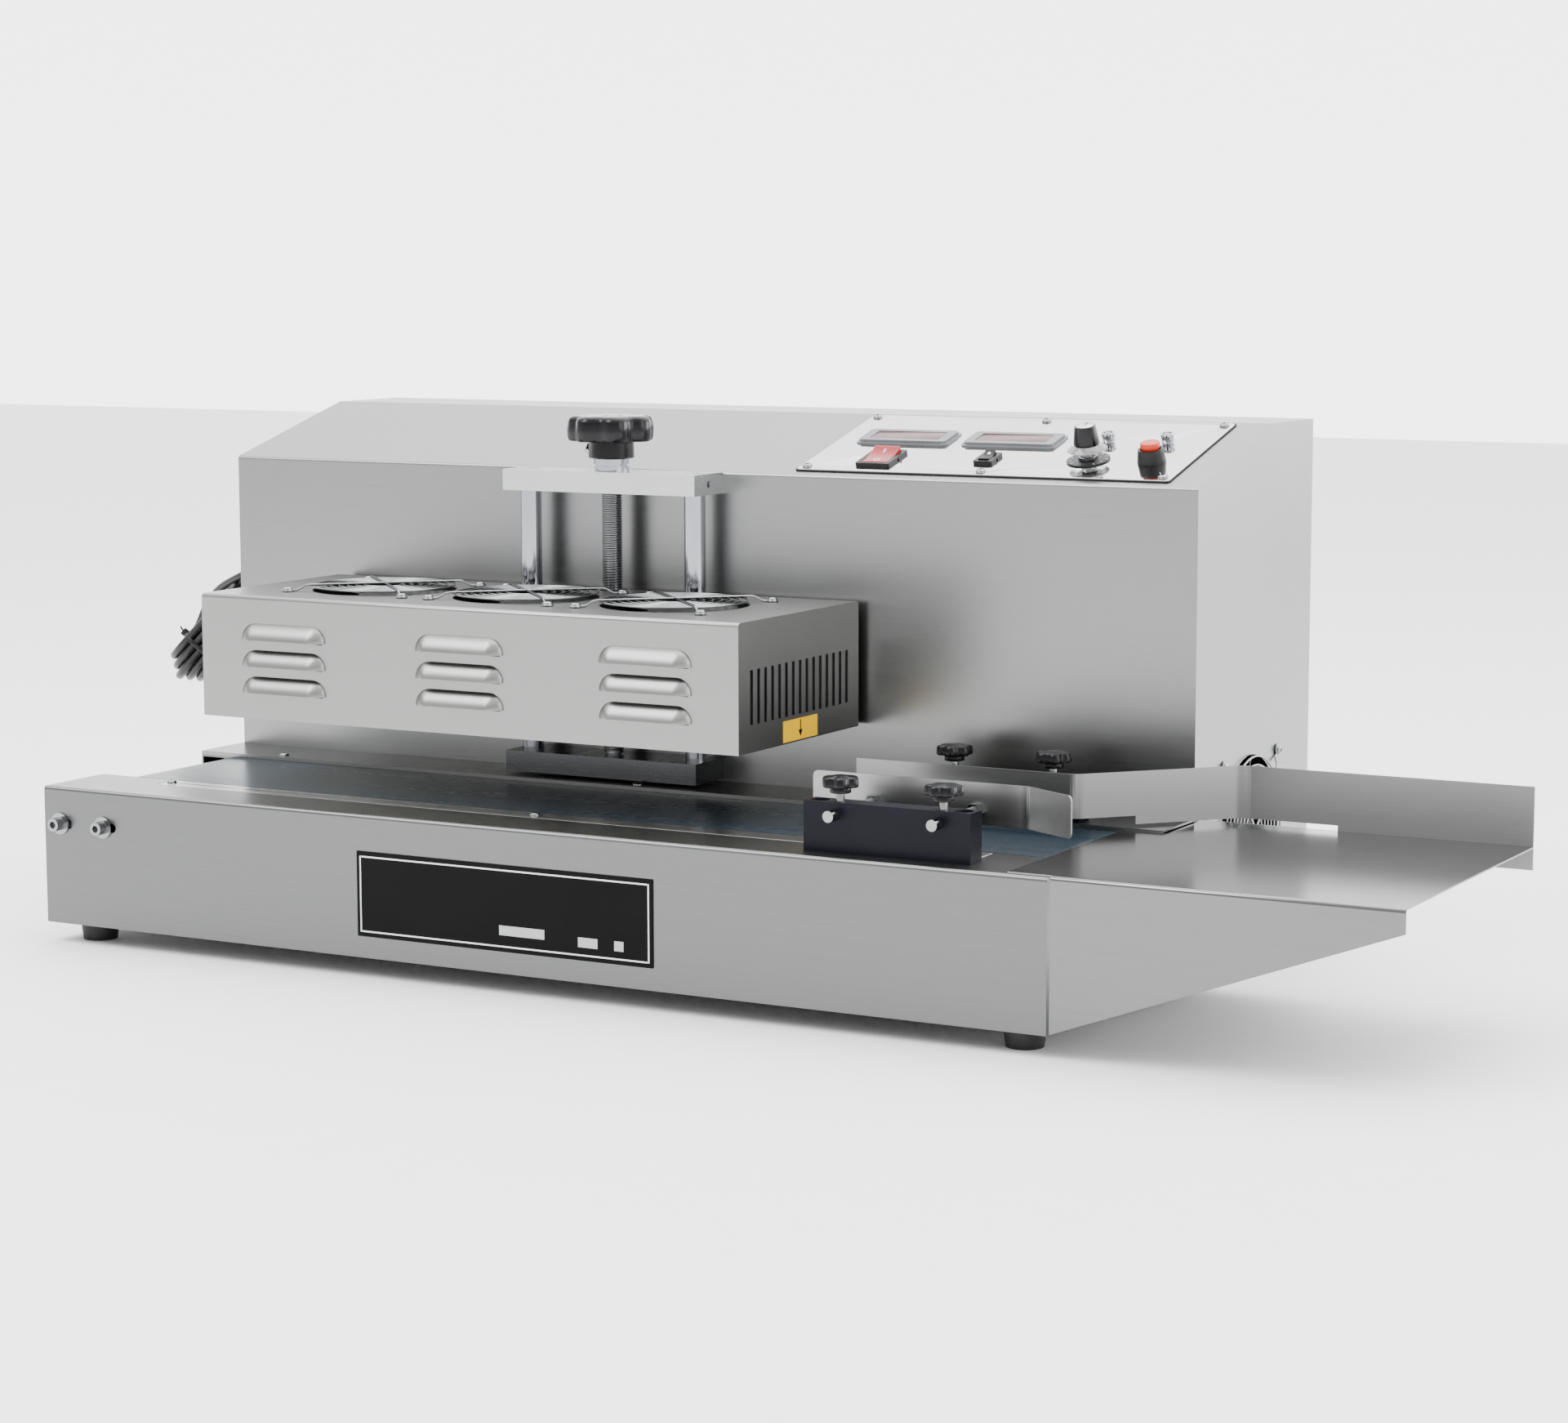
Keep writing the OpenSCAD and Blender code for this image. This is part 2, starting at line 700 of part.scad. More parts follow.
module case_screws() placed() color(bright) {
    on_panel() panel_screw_places() pan_screw();
    cover_screw_places() translate([0, sheet_t, 0]) rotate([-90, 0, 0]) pan_screw();
    for (x = rear_bed_screws) translate([x, rear_screw_y, rear_deck_z]) pan_screw();
    for (x = bed_screws) translate([x, strip_y + strip_w / 2, deck_z]) pan_screw();
    translate([base_l + guard_tab_t, tower_fan_y, tower_fan_z]) rotate([0, 90, 0]) fan_corners() pan_screw();
    for (z = [upper_z, lower_z], s = [-1, 1])
        translate([lift_x + s * block_bolt_pitch / 2, base_d + sheet_t, z + block_h / 2]) {
            cyl_y(block_bolt_d + 4, block_bolt_d);
            translate([0, -sheet_t - block_bolt_l, 0])
                cyl_y(block_bolt_d - 0.2, sheet_t + block_bolt_l + over);
        }
}

// Control panel

module panel_outline() difference() {
    round_rect(panel_w, panel_h, panel_corner);
    panel_screw_places() circle(d = pan_hole_d);
    for (at = meter_at) translate(at) square([meter_w, meter_h] - rim_lap, center = true);
    translate(main_switch_at) square(main_switch - rim_lap, center = true);
    translate(small_switch_at) square(small_switch - small_rim_lap, center = true);
    translate(knob_at) circle(d = shaft_d + 4);
    for (at = lamps_at) translate(at) circle(d = lamp_d - 2);
    translate(button_at) circle(d = button_d + 1);
}

module control_panel() placed() color(bright)
    on_panel() translate([0, 0, -panel_t]) linear_extrude(panel_t) panel_outline();

module panel_meters() placed() color(dark_steel) for (at = meter_at) on_panel(at) difference() {
    size = [meter_w, meter_h];
    top = size - 2 * [meter_step, meter_step];
    union() {
        translate(-size / 2) linear_extrude(meter_t - meter_step)
            round_rect(size[0], size[1], panel_corner + 1);
        translate(-top / 2) linear_extrude(meter_t) round_rect(top[0], top[1], panel_corner);
        translate([0, 0, -meter_depth / 2])
            cube([meter_w - rim_lap[0] - 1, meter_h - rim_lap[1] - 1, meter_depth + over], center = true);
    }
    translate([0, 0, meter_t])
        cube([meter_w - window_frame[0], meter_h - window_frame[1], meter_step], center = true);
}

// Rim and body of a rocker switch with the rocker's well and pin holes
module rocker_housing(size) {
    well = size - well_frame;
    body = size - rim_lap - [body_gap, body_gap];
    difference() {
        union() {
            linear_extrude(switch_rim) translate(-size / 2) round_rect(size[0], size[1], 1.5);
            translate([0, 0, -switch_depth / 2]) cube([body[0], body[1], switch_depth + over], center = true);
        }
        translate([0, 0, -switch_depth / 4 + over])
            cube([well[0], well[1], switch_depth / 2 + 2 * switch_rim], center = true);
        translate([-size[0], 0, 0]) cyl_x(rocker_pin_d + 2 * run_fit, 2 * size[0]);
    }
}

// Rocker on its pin, resting with its rear half raised
module rocker(size) {
    half = (size[1] - well_frame[1]) / 2 - 1;
    w = size[0] - well_frame[0] - 2 * move_gap;
    crest = 2 * switch_rim;
    dip = switch_rim + 0.4;
    rotate([rocker_tilt, 0, 0]) {
        translate([-w / 2, 0, 0]) along_x(w)
            polygon([[-half, -1.5], [half, -1.5], [half, crest], [0, dip], [-half, crest]]);
        translate([-size[0] / 2 + rocker_pin_in, 0, 0]) cyl_x(rocker_pin_d, size[0] - 2 * rocker_pin_in);
    }
}

module switch_housings() placed() color(black) {
    on_panel(main_switch_at) rocker_housing(main_switch);
    on_panel(small_switch_at) rocker_housing(small_switch);
    on_panel(button_at) difference() {
        union() {
            cylinder(d1 = button_d + 6.5, d2 = button_d + 4, h = button_out);
            translate([0, 0, -18]) cylinder(d = button_d + 0.6, h = 18 + over);
        }
        translate([0, 0, -9]) cylinder(d = button_d - 2 + 2 * move_gap, h = 40);
        translate([0, 0, button_out - button_travel - 1]) cylinder(d = button_d + 2 * move_gap, h = 20);
    }
}

module main_rocker() placed() color("#b3262c") on_panel(main_switch_at) rocker(main_switch);

module small_rocker() placed() color(black) on_panel(small_switch_at) rocker(small_switch);

module push_button() placed() color("#d8452f") on_panel(button_at) {
    translate([0, 0, button_out]) cylinder(d = button_d, h = 5);
    translate([0, 0, button_travel - 8])
        cylinder(d = button_d - 2, h = button_out - button_travel + 8 + over);
}

module lamp_bezels() placed() color(bright) for (at = lamps_at) on_panel(at) difference() {
    union() {
        cylinder(d1 = lamp_d - 1, d2 = lamp_d, h = lamp_h);
        translate([0, 0, -14]) cylinder(d = lamp_d - 2.4, h = 14 + over);
    }
    translate([0, 0, lamp_h - 2]) cylinder(d = lamp_d - 4, h = 4);
}

module speed_potentiometer() placed() color(dark_steel) on_panel(knob_at) difference() {
    union() {
        cylinder(d = dial_d, h = 1);
        cylinder(d = shaft_d + 5, h = dial_gap - move_gap);
        translate([0, 0, -8]) cylinder(d = shaft_d + 3, h = 8 + over);
        translate([0, 0, -20]) cylinder(d = 24, h = 20 - panel_t - 2);
    }
    translate([0, 0, -14]) cylinder(d = shaft_d + 2 * run_fit, h = 40);
}

module speed_knob() placed() color(black) on_panel(knob_at) union() {
    translate([0, 0, -10]) cylinder(d = shaft_d, h = 10 + dial_gap + over);
    translate([0, 0, dial_gap]) cylinder(d1 = dial_d - 2.5, d2 = dial_d - 12, h = dial_skirt_h);
    translate([0, 0, dial_gap + dial_skirt_h - over])
        cylinder(d1 = dial_d - 13, d2 = dial_d - 16.5, h = dial_grip_h);
}

// Lift

module lift_block(z) difference() {
    translate([lift_x - block_l / 2, base_d - block_d, z]) cube([block_l, block_d, block_h]);
    for (x = column_x) translate([x, column_y, z - over])
        cylinder(d = column_d + 2 * run_fit, h = block_h + 2 * over);
    for (s = [-1, 1])
        translate([lift_x + s * block_bolt_pitch / 2, base_d - block_tap_l, z + block_h / 2])
            cyl_y(block_bolt_d, block_tap_l + over);
}

module upper_block() placed() color(bright) difference() {
    lift_block(upper_z);
    translate([lift_x, column_y, upper_z - over]) cylinder(d = screw_d + 2 * run_fit, h = block_h + 2 * over);
    translate([lift_x + block_l / 2 - cross_hole[1], column_y, upper_z + block_h / 2])
        cyl_x(cross_hole[0], cross_hole[1] + over);
}

module lower_block() placed() color(bright) difference() {
    lift_block(lower_z);
    translate([lift_x, column_y, lower_z + block_h - journal_l])
        cylinder(d = journal_d + 2 * run_fit, h = journal_l + over);
}

module guide_columns() placed() color(bright) for (x = column_x)
    translate([x, column_y, lower_z]) cylinder(d = column_d, h = upper_z + block_h - lower_z);

module thrust_bearing() placed() color(bright) translate([lift_x, column_y, edge_z]) difference() {
    union() {
        cylinder(d = thrust_d, h = thrust_h * 0.4);
        cylinder(d = thrust_d - 3, h = thrust_h);
        translate([0, 0, thrust_h * 0.6]) cylinder(d = thrust_d, h = thrust_h * 0.4);
    }
    translate([0, 0, -over]) cylinder(d = screw_d + 2 * move_gap, h = thrust_h + 2 * over);
}

module lead_screw() placed() color(bright) translate([lift_x, column_y, 0]) {
    foot = lower_z + block_h;
    translate([0, 0, foot + move_gap]) cylinder(d = screw_d, h = hub_z + knob_hub_h - foot - move_gap);
    translate([0, 0, foot - journal_l + move_gap]) cylinder(d = journal_d, h = journal_l + over);
}

module lift_knob() placed() color(black) translate([lift_x, column_y, hub_z]) {
    difference() {
        union() {
            cylinder(d = knob_hub_d, h = knob_hub_h + over);
            translate([0, 0, knob_hub_h]) star_grip(knob_d, knob_h, 7);
        }
        translate([0, 0, -over]) cylinder(d = screw_d, h = knob_hub_h + over);
        translate([-knob_hub_d / 2 - over, 0, knob_hub_h / 2]) cyl_x(6, knob_hub_d / 2 - screw_d / 2 + over);
    }
    translate([-knob_hub_d / 2 - 5, 0, knob_hub_h / 2]) {
        cyl_x(5.8, knob_hub_d / 2 + 5 - screw_d / 2);
        translate([3, 0, 0]) rotate([0, 90, 0]) cylinder(d = 10, h = 2, $fn = 6);
    }
}

// Sealing head

// Slanted face of a louver, its slope and its wall measured straight up
louver_slope = (louver_h - louver_lip) / louver_out;
louver_wall = head_t * norm([1, louver_slope]);
louver_run = louver_l - 2 * louver_h;

// Half of a long cone whose base lies behind the head's face: a straight run between two round ends
module louver_form(h, out, back, low) {
    base = h + louver_slope * back;
    lip = h - louver_slope * out;
    translate([-louver_run / 2, 0, 0]) along_x(louver_run)
        polygon([[back, low], [back, base], [-out, lip], [-out, low]]);
    for (s = [-1, 1]) translate([s * louver_run / 2, back, 0]) intersection() {
        rotate([90, 0, 0]) cylinder(r1 = base, r2 = lip, h = out + back);
        translate([-base, -out - back, low]) cube([2 * base, out + back, base - low]);
    }
}

// Hoods stand out from the head's front, open at the lip below
module louver_places() {
    first = [head_x + head_l / 2, head_y, head_z + louver_rise];
    for (column = [-1 : 1], row = [0 : 2])
        translate(first + [column * louver_columns, 0, row * louver_rows]) children();
}

module louver_hood() louver_form(louver_h, louver_out, head_t / 2, 0);

module louver_hollow() louver_form(louver_h - louver_wall, louver_out - head_t, head_t + over, -over);

module head_shell() placed() color(steel) difference() {
    union() {
        difference() {
            translate([head_x, head_y, head_z]) along_x(head_l) arch_block(head_d, head_h, bend_r);
            translate([head_x + head_t, head_y + head_t, head_z - over]) along_x(head_l - 2 * head_t)
                arch_block(head_d - 2 * head_t, head_h - head_t + over, bend_r - head_t);
        }
        louver_places() louver_hood();
    }
    louver_places() louver_hollow();
    for (x = fan_x) translate([x, fan_y, head_top - head_t - over]) {
        cylinder(d = fan_bore - 4, h = head_t + 2 * over);
        fan_corners() cylinder(d = fan_hole_d, h = head_t + 2 * over);
    }
    for (x = concat(column_x, [lift_x])) translate([x, column_y, head_top - head_t - over])
        cylinder(d = passage, h = head_t + 2 * over);
    slot_y = head_y + (head_d - (slot_n - 1) * slot_pitch - slot_w) / 2;
    for (i = [0 : slot_n - 1])
        translate([head_x + head_l - head_t - over, slot_y + i * slot_pitch, head_z + slot_rise])
            cube([head_t + 2 * over, slot_w, slot_h]);
}

module head_base_plate() placed() color("#d8d4c6") difference() {
    translate([head_x + head_t, head_y + head_t, head_z])
        cube([head_l - 2 * head_t, head_d - 2 * head_t, head_plate_t]);
    for (x = concat(column_x, [lift_x])) translate([x, column_y, head_z - over])
        cylinder(d = passage, h = head_plate_t + 2 * over);
}

module lift_carriage() placed() color(bright) difference() {
    translate([lift_x - carriage_l / 2, column_y - carriage_d / 2, carriage_z])
        cube([carriage_l, carriage_d, carriage_h]);
    for (x = column_x) translate([x, column_y, carriage_z - over])
        cylinder(d = bushing_d, h = carriage_h + 2 * over);
    translate([lift_x, column_y, carriage_z - over]) cylinder(d = nut_d, h = carriage_h + 2 * over);
}

// Sleeve that fills a bore of the carriage and runs on what passes through it
module sleeve(x, outer, inner) translate([x, column_y, carriage_z]) difference() {
    cylinder(d = outer, h = carriage_h);
    translate([0, 0, -over]) cylinder(d = inner + 2 * run_fit, h = carriage_h + 2 * over);
}

module column_bushings() placed() color(brass_tone) for (x = column_x) sleeve(x, bushing_d, column_d);

module lift_nut() placed() color(brass_tone) sleeve(lift_x, nut_d, screw_d);

coil_x = head_x + coil_edge;
coil_l = head_l - 2 * coil_edge;
coil_y = head_y + coil_edge;
coil_d = column_y - carriage_d / 2 - 6 - coil_y;

module coil_outline() difference() {
    inner = [coil_l - 2 * coil_w, coil_d - 2 * coil_w];
    round_rect(coil_l, coil_d, coil_d / 2 - 1);
    translate([coil_w, coil_w]) round_rect(inner[0], inner[1], inner[1] / 2 - 1);
}

module induction_coil() placed() color("#b0703c")
    translate([coil_x, coil_y, carriage_z]) linear_extrude(coil_t) coil_outline();

module ferrite_bars() placed() color("#3a3a3d") {
    step = (coil_l - 2 * ferrite_edge - ferrite_w) / (ferrite_n - 1);
    for (i = [0 : ferrite_n - 1])
        translate([coil_x + ferrite_edge + i * step, coil_y, carriage_z + coil_t])
            cube([ferrite_w, coil_d, ferrite_t]);
}

module head_fan_frames() placed() color(black) for (x = fan_x) translate([x, fan_y, fan_top]) fan_frame();

module head_fan(i) placed() color(black) translate([fan_x[i], fan_y, fan_top]) fan_rotor();

module head_fan_left() head_fan(0);

module head_fan_middle() head_fan(1);

module head_fan_right() head_fan(2);

module head_fan_guards() placed() color(bright) for (x = fan_x) translate([x, fan_y, head_top]) fan_guard();

module guard_screws() placed() color(bright) for (x = fan_x)
    translate([x, fan_y, head_top + guard_tab_t]) fan_corners() pan_screw();

// Conveyor

// Outline of the belt's loop, a given distance from the axles
module loop_shape(r) {
    for (x = roller_ends) translate([x, axle_z]) circle(r);
    translate([roller_inset, axle_z - r]) square([base_l - 2 * roller_inset, 2 * r]);
}

module belt() placed() color(blue_belt) translate([0, belt_y, 0]) along_y(belt_w) difference() {
    loop_shape(belt_r + belt_t);
    loop_shape(belt_r);
}

module belt_bed() placed() color(dark_steel) difference() {
    translate([bed_x, bed_y, bed_z - bed_t]) cube([base_l - 2 * bed_x, bed_back - bed_y, bed_t]);
    for (x = rear_bed_screws) translate([x, rear_screw_y, bed_z - bed_t - over])
        cylinder(d = pan_hole_d, h = bed_t + 2 * over);
    for (x = bed_screws) translate([x, strip_y + strip_w / 2, bed_z - bed_t - over])
        cylinder(d = pan_hole_d, h = bed_t + 2 * over);
}

module belt_side_strip() placed() color(bright) translate([strip_x, strip_y, bed_z]) difference() {
    cube([base_l - 2 * strip_x, strip_w, sheet_t]);
    for (x = bed_screws) translate([x - strip_x, strip_w / 2, -over])
        cylinder(d = pan_hole_d, h = sheet_t + 2 * over);
}

axle_front = sheet_t + 1;

module roller(x, axle_end) translate([x, 0, axle_z]) {
    translate([0, belt_y, 0]) cyl_y(roller_d, belt_w);
    translate([0, axle_front, 0]) cyl_y(axle_d, axle_end - axle_front);
}

motor_y = rear_carrier_y + carrier_t + 4;

module drive_roller() placed() color(dark_steel) roller(roller_ends[1], motor_y + gear_box[1] / 2);

module idler_roller() placed() color(dark_steel) roller(roller_ends[0], rear_carrier_y + carrier_t);

module roller_carriers() placed() color(dark_steel) for (x = roller_ends) {
    difference() {
        translate([x - carrier_w / 2, sheet_t, axle_z - carrier_h / 2])
            cube([carrier_w, carrier_t, carrier_h]);
        translate([x, axle_front - move_gap, axle_z]) cyl_y(axle_d + 2 * run_fit, carrier_t);
        for (s = [-1, 1]) translate([x + s * tension_pitch / 2, 0, axle_z])
            cyl_y(tension_bolt_d + 0.2, 2 * carrier_t);
    }
    difference() {
        translate([x - rear_carrier_w / 2, rear_carrier_y, axle_z - carrier_h / 2])
            cube([rear_carrier_w, carrier_t, bed_z - axle_z + carrier_h / 2]);
        translate([x, rear_carrier_y - over, axle_z]) cyl_y(axle_d + 2 * run_fit, carrier_t + 2 * over);
    }
}

module tension_bolts() placed() color(bright) for (s = [-1, 1])
    translate([roller_inset + s * tension_pitch / 2, 0, axle_z]) tension_bolt();

// Cap screw and washer against the front wall, with its seat at y = 0
module tension_bolt() {
    difference() {
        translate([0, -washer_t, 0]) cyl_y(washer_d, washer_t);
        translate([0, -washer_t - over, 0]) cyl_y(tension_bolt_d + 0.4, washer_t + 2 * over);
    }
    difference() {
        union() {
            translate([0, -front_reach, 0]) cyl_y(bolt_head_d, bolt_head_h);
            translate([0, -washer_t - over / 2, 0]) cyl_y(tension_bolt_d, washer_t + sheet_t + carrier_t);
        }
        translate([0, -front_reach - over, 0]) rotate([-90, 0, 0])
            cylinder(d = tension_bolt_d - 0.2, h = bolt_head_h / 2 + over, $fn = 6);
    }
}

// Foot-mounted geared motor on the drive roller's axle
motor_d = roller_d - 6;
motor_gap = 4;
motor_l = 1.8 * roller_d;
motor_x = base_l - sheet_t - fan_t - motor_gap - motor_d / 2;
gear_box_x = motor_x - motor_d / 2 - over;
gear_box = [base_l - sheet_t - motor_gap - gear_box_x, 0.65 * roller_d, motor_d];
motor_foot = [2 * motor_d / 3, gear_box[1] + 0.8 * motor_l, axle_z - motor_d / 3 - floor_z];

module gear_motor() placed() color(dark_steel) difference() {
    union() {
        translate([gear_box_x, motor_y, axle_z - gear_box[2] / 2]) cube(gear_box);
        translate([motor_x, motor_y + gear_box[1] - over, axle_z]) cyl_y(motor_d, motor_l);
        translate([motor_x - motor_foot[0] / 2, motor_y + motor_gap, floor_z]) cube(motor_foot);
    }
    translate([roller_ends[1], motor_y - over, axle_z]) cyl_y(axle_d + 2 * run_fit, 0.6 * gear_box[1]);
}

// Guides

module guide_block(y, low) difference() {
    translate([guide_x, y, low]) cube([guide_l, guide_t, deck_z + guide_h - low]);
    for (x = rod_x) {
        translate([x, y - over, rod_z]) cyl_y(rod_d + 2 * run_fit, guide_t + 2 * over);
        translate([x, y + guide_t / 2, rod_z]) cylinder(d = stem_d + 2 * run_fit, h = guide_h);
    }
    for (x = [guide_x + guide_bore_in, guide_x + guide_l - guide_bore_in])
        translate([x, y + guide_t / 2, deck_z + guide_h - guide_bore[1]])
            cylinder(d = guide_bore[0], h = guide_bore[1] + over);
}

module guide_blocks() placed() color(black) {
    guide_block(guide_front, deck_z);
    guide_block(rear_guide_y, rear_deck_z);
}

module front_guide_rods() placed() color(bright) for (x = rod_x) translate([x, rod_front, rod_z]) {
    cyl_y(rod_d, plate_y - rod_front);
    translate([0, plate_y - rod_front - 5, 0]) rotate([-90, 0, 0]) cylinder(d = rod_d + 5, h = 5, $fn = 6);
}

// What is cut off an end of the front plate to round its corners
module plate_end_trim() translate([0, -2 * plate_t, 0]) along_y(4 * plate_t) difference() {
    translate([-over, -over]) square([plate_corner + over, plate_h + 2 * over]);
    round_rect(4 * plate_corner, plate_h, plate_corner);
}

module front_guide_plate() placed() color(bright) translate([0, 0, plate_z]) difference() {
    flare_turn = atan2(flare[1] - plate_y, flare[0] - plate_right);
    linear_extrude(plate_h)
        bent_sheet([[plate_left, plate_y], [plate_right, plate_y], flare], sheet_bend, plate_t);
    translate([plate_left, plate_y, 0]) plate_end_trim();
    translate([flare[0], flare[1], 0]) rotate(flare_turn + 180) plate_end_trim();
}

// Fence: one bent sheet that runs from the guide to the tray, where it becomes the rear skirt
module rear_guide_fence() placed() color(bright) {
    difference() {
        translate([0, 0, tray_skirt_low]) linear_extrude(deck_z + fence_h - tray_skirt_low)
            bent_sheet(fence_line, sheet_bend, plate_t);
        translate([fence_left - over, 0, 0]) cube([fence_step_x - fence_left + over, rear_y, fence_low]);
        translate([fence_step_x - over, 0, 0])
            cube([fence_tray_x - fence_step_x + over, rear_y, fence_step_low]);
        tray_taper(tray_d / 2, tray_d);
    }
    join_x = fence_tray_x + over;
    skirt_end = [[tray_start, skirt_base], [join_x, skirt_z(join_x)], [join_x, tray_top],
        [tray_start, tray_top]];
    translate([0, tray_d, 0]) along_y(plate_t) polygon(skirt_end);
    for (x = rod_x) translate([x, fence_y + plate_t / 2, rod_z])
        cyl_y(rod_d, rear_guide_y + guide_t + 10 - fence_y);
}

tray_skirt_low = deck_z - tray_lip;
tray_start = base_l + tray_gap;
skirt_base = foot_h + 1;
function skirt_z(x) = skirt_base + (x - tray_start) * (tray_skirt_low - skirt_base) / (tray_end - tray_start);

// What is cut away under a tapered skirt
module tray_taper(y, d) translate([0, y, 0]) along_y(d) {
    end = tray_end + over;
    polygon([[base_l, 0], [end, 0], [end, skirt_z(end)], [base_l, skirt_z(base_l)]]);
}

module infeed_tray() placed() color(steel) {
    lap_x = base_l - tray_lap;
    rise = tray_top - skirt_base;
    difference() {
        translate([tray_start, 0, skirt_base]) along_x(tray_l - tray_gap) difference() {
            corner_block(tray_d, rise, bend_r);
            translate([plate_t, -over]) corner_block(tray_d, rise - plate_t + over, bend_r - plate_t);
        }
        tray_taper(-over, tray_d / 2);
    }
    translate([lap_x, bend_r, deck_z]) cube([tray_lap + tray_gap + over, rear_deck_y - bend_r - 1, plate_t]);
}

module clamp(x, y) translate([x, y, clamp_z]) {
    stem = clamp_z - rod_z - rod_d / 2 - move_gap;
    translate([0, 0, -stem]) cylinder(d = stem_d, h = stem + over);
    cylinder(d = clamp_d * 0.55, h = clamp_h * 0.4);
    translate([0, 0, clamp_h * 0.35]) star_grip(clamp_d, clamp_h * 0.65, 6);
}

module front_left_clamp() placed() color(black) clamp(rod_x[0], clamp_y[0]);

module front_right_clamp() placed() color(black) clamp(rod_x[1], clamp_y[0]);

module rear_left_clamp() placed() color(black) clamp(rod_x[0], clamp_y[1]);

module rear_right_clamp() placed() color(black) clamp(rod_x[1], clamp_y[1]);

// Tower fan and electronics

module at_tower_fan(x) placed() translate([x, tower_fan_y, tower_fan_z]) rotate([0, 90, 0]) children();

module tower_fan_frame() color(black) at_tower_fan(base_l - sheet_t) fan_frame();

module tower_fan_rotor() color(black) at_tower_fan(base_l - sheet_t) fan_rotor();

module tower_fan_guard() color(bright) at_tower_fan(base_l) fan_guard();

// Inverter board on posts, with its heat sink, capacitors and transformer
board = [0.38 * base_l, 0.58 * tower_d, 2];
board_post = [8, 12];
sink = [0.27 * board[0], 0.7 * board[1], 0.12 * tower_front_h];
capacitor = [0.1 * board[0], 0.2 * tower_front_h];
transformer = [0.44 * board[0], 0.3 * board[1], 0.13 * tower_front_h];
sink_fins = 6;

module power_board() placed() color("#3f6b4a") translate([0.2 * base_l, base_d + 0.22 * tower_d, floor_z]) {
    top = board_post[1] + over;
    for (x = [board_post[0], board[0] - board_post[0]], y = [board_post[0], board[1] - board_post[0]])
        translate([x, y, 0]) cylinder(d = board_post[0], h = top);
    translate([0, 0, board_post[1]]) cube(board);
    translate([0.08 * board[0], 0.15 * board[1], top]) {
        cube([sink[0], sink[1], sink[2] / 3]);
        for (i = [0 : sink_fins - 1]) translate([i * sink[0] / sink_fins, 0, 0])
            cube([sink[0] / sink_fins / 2, sink[1], sink[2]]);
    }
    for (i = [0 : 2]) translate([(0.47 + 0.13 * i) * board[0], 0.3 * board[1], top])
        cylinder(d = capacitor[0], h = capacitor[1]);
    translate([0.44 * board[0], 0.6 * board[1], top]) cube(transformer);
}

// Mains cord, folded into a hank beside the tower

module cord_gland() placed() color(black) translate([0, cord_plane, cord_route[0][2]]) difference() {
    union() {
        translate([-gland_nut, 0, 0]) cyl_x(gland_d, gland_nut);
        translate([-gland_l, 0, 0]) rotate([0, 90, 0])
            cylinder(d1 = cord_d + 3, d2 = gland_d - 4, h = gland_l - gland_nut + over);
        cyl_x(gland_d - 6.4, sheet_t + gland_nut);
        translate([sheet_t, 0, 0]) cyl_x(gland_d, gland_nut - 2);
    }
    translate([-gland_l - over, 0, 0]) cyl_x(cord_d + 0.1, gland_l + sheet_t + gland_nut + 2 * over);
}

// Ring of cord points around one point of the route, square to its run
function route_dir(i) = let (last = len(cord_route) - 1)
    unit(cord_route[min(i + 1, last)] - cord_route[max(i - 1, 0)]);
function cord_ring(i) = let (u = route_dir(i), side = unit(cross(u, [0, 1, 0])), up = cross(side, u))
    [for (k = [0 : cord_sides - 1]) let (a = k * 360 / cord_sides)
        cord_route[i] + cord_d / 2 * (cos(a) * side + sin(a) * up)];

module power_cord() placed() color(black) {
    rings = len(cord_route);
    points = [for (i = [0 : rings - 1]) each cord_ring(i)];
    sides = [for (i = [0 : rings - 2], k = [0 : cord_sides - 1]) let (m = (k + 1) % cord_sides)
        [i * cord_sides + k, i * cord_sides + m, (i + 1) * cord_sides + m, (i + 1) * cord_sides + k]];
    first = [for (k = [0 : cord_sides - 1]) cord_sides - 1 - k];
    last = [for (k = [0 : cord_sides - 1]) (rings - 1) * cord_sides + k];
    polyhedron(points, concat(sides, [first, last]));
}

// Hank frame: x runs up the hank from its lower end, y across it, z through its turns
module in_hank() translate(hank_low + [0, cord_plane, 0]) rotate([0, 0, hank_yaw])
    rotate([0, -hank_lean, 0]) children();

// Layers of turns, shorter towards the outside, and the last turn round to the plug behind them
module cord_hank() placed() color(black) in_hank() union() {
    last = (hank_turns - 1) / 2 * cord_d - hank_sink;
    reach = plug_side + hank_fold - hank_sink;
    for (i = [0 : hank_turns - 1]) let (level = i - (hank_turns - 1) / 2)
        translate([hank_l / 2, 0, (level - 0.5) * cord_d]) linear_extrude(cord_d + over)
            slot_shape(hank_l - 2 * hank_step * abs(level), hank_w);
    translate([hank_end, plug_side - reach / 2, -last / 2]) rotate([atan2(last, reach), 0, 0])
        rotate(-90) rotate_extrude(angle = 180) translate([norm([reach, last]) / 2, 0]) circle(d = cord_d);
}

module plug_form() {
    cylinder(d1 = cord_d + 2, d2 = cord_d + 6, h = plug_taper_l);
    translate([0, 0, plug_taper_l - over]) cylinder(d = plug_d, h = plug_l);
    for (s = [-1, 1]) translate([0, s * plug_pins[0] / 2, plug_taper_l + plug_l - 2 * over])
        cylinder(d = plug_pins[1], h = plug_pins[2]);
}

module power_plug() placed() color(black) in_hank()
    translate([hank_end, plug_side, 0]) rotate([0, -90, 0]) plug_form();

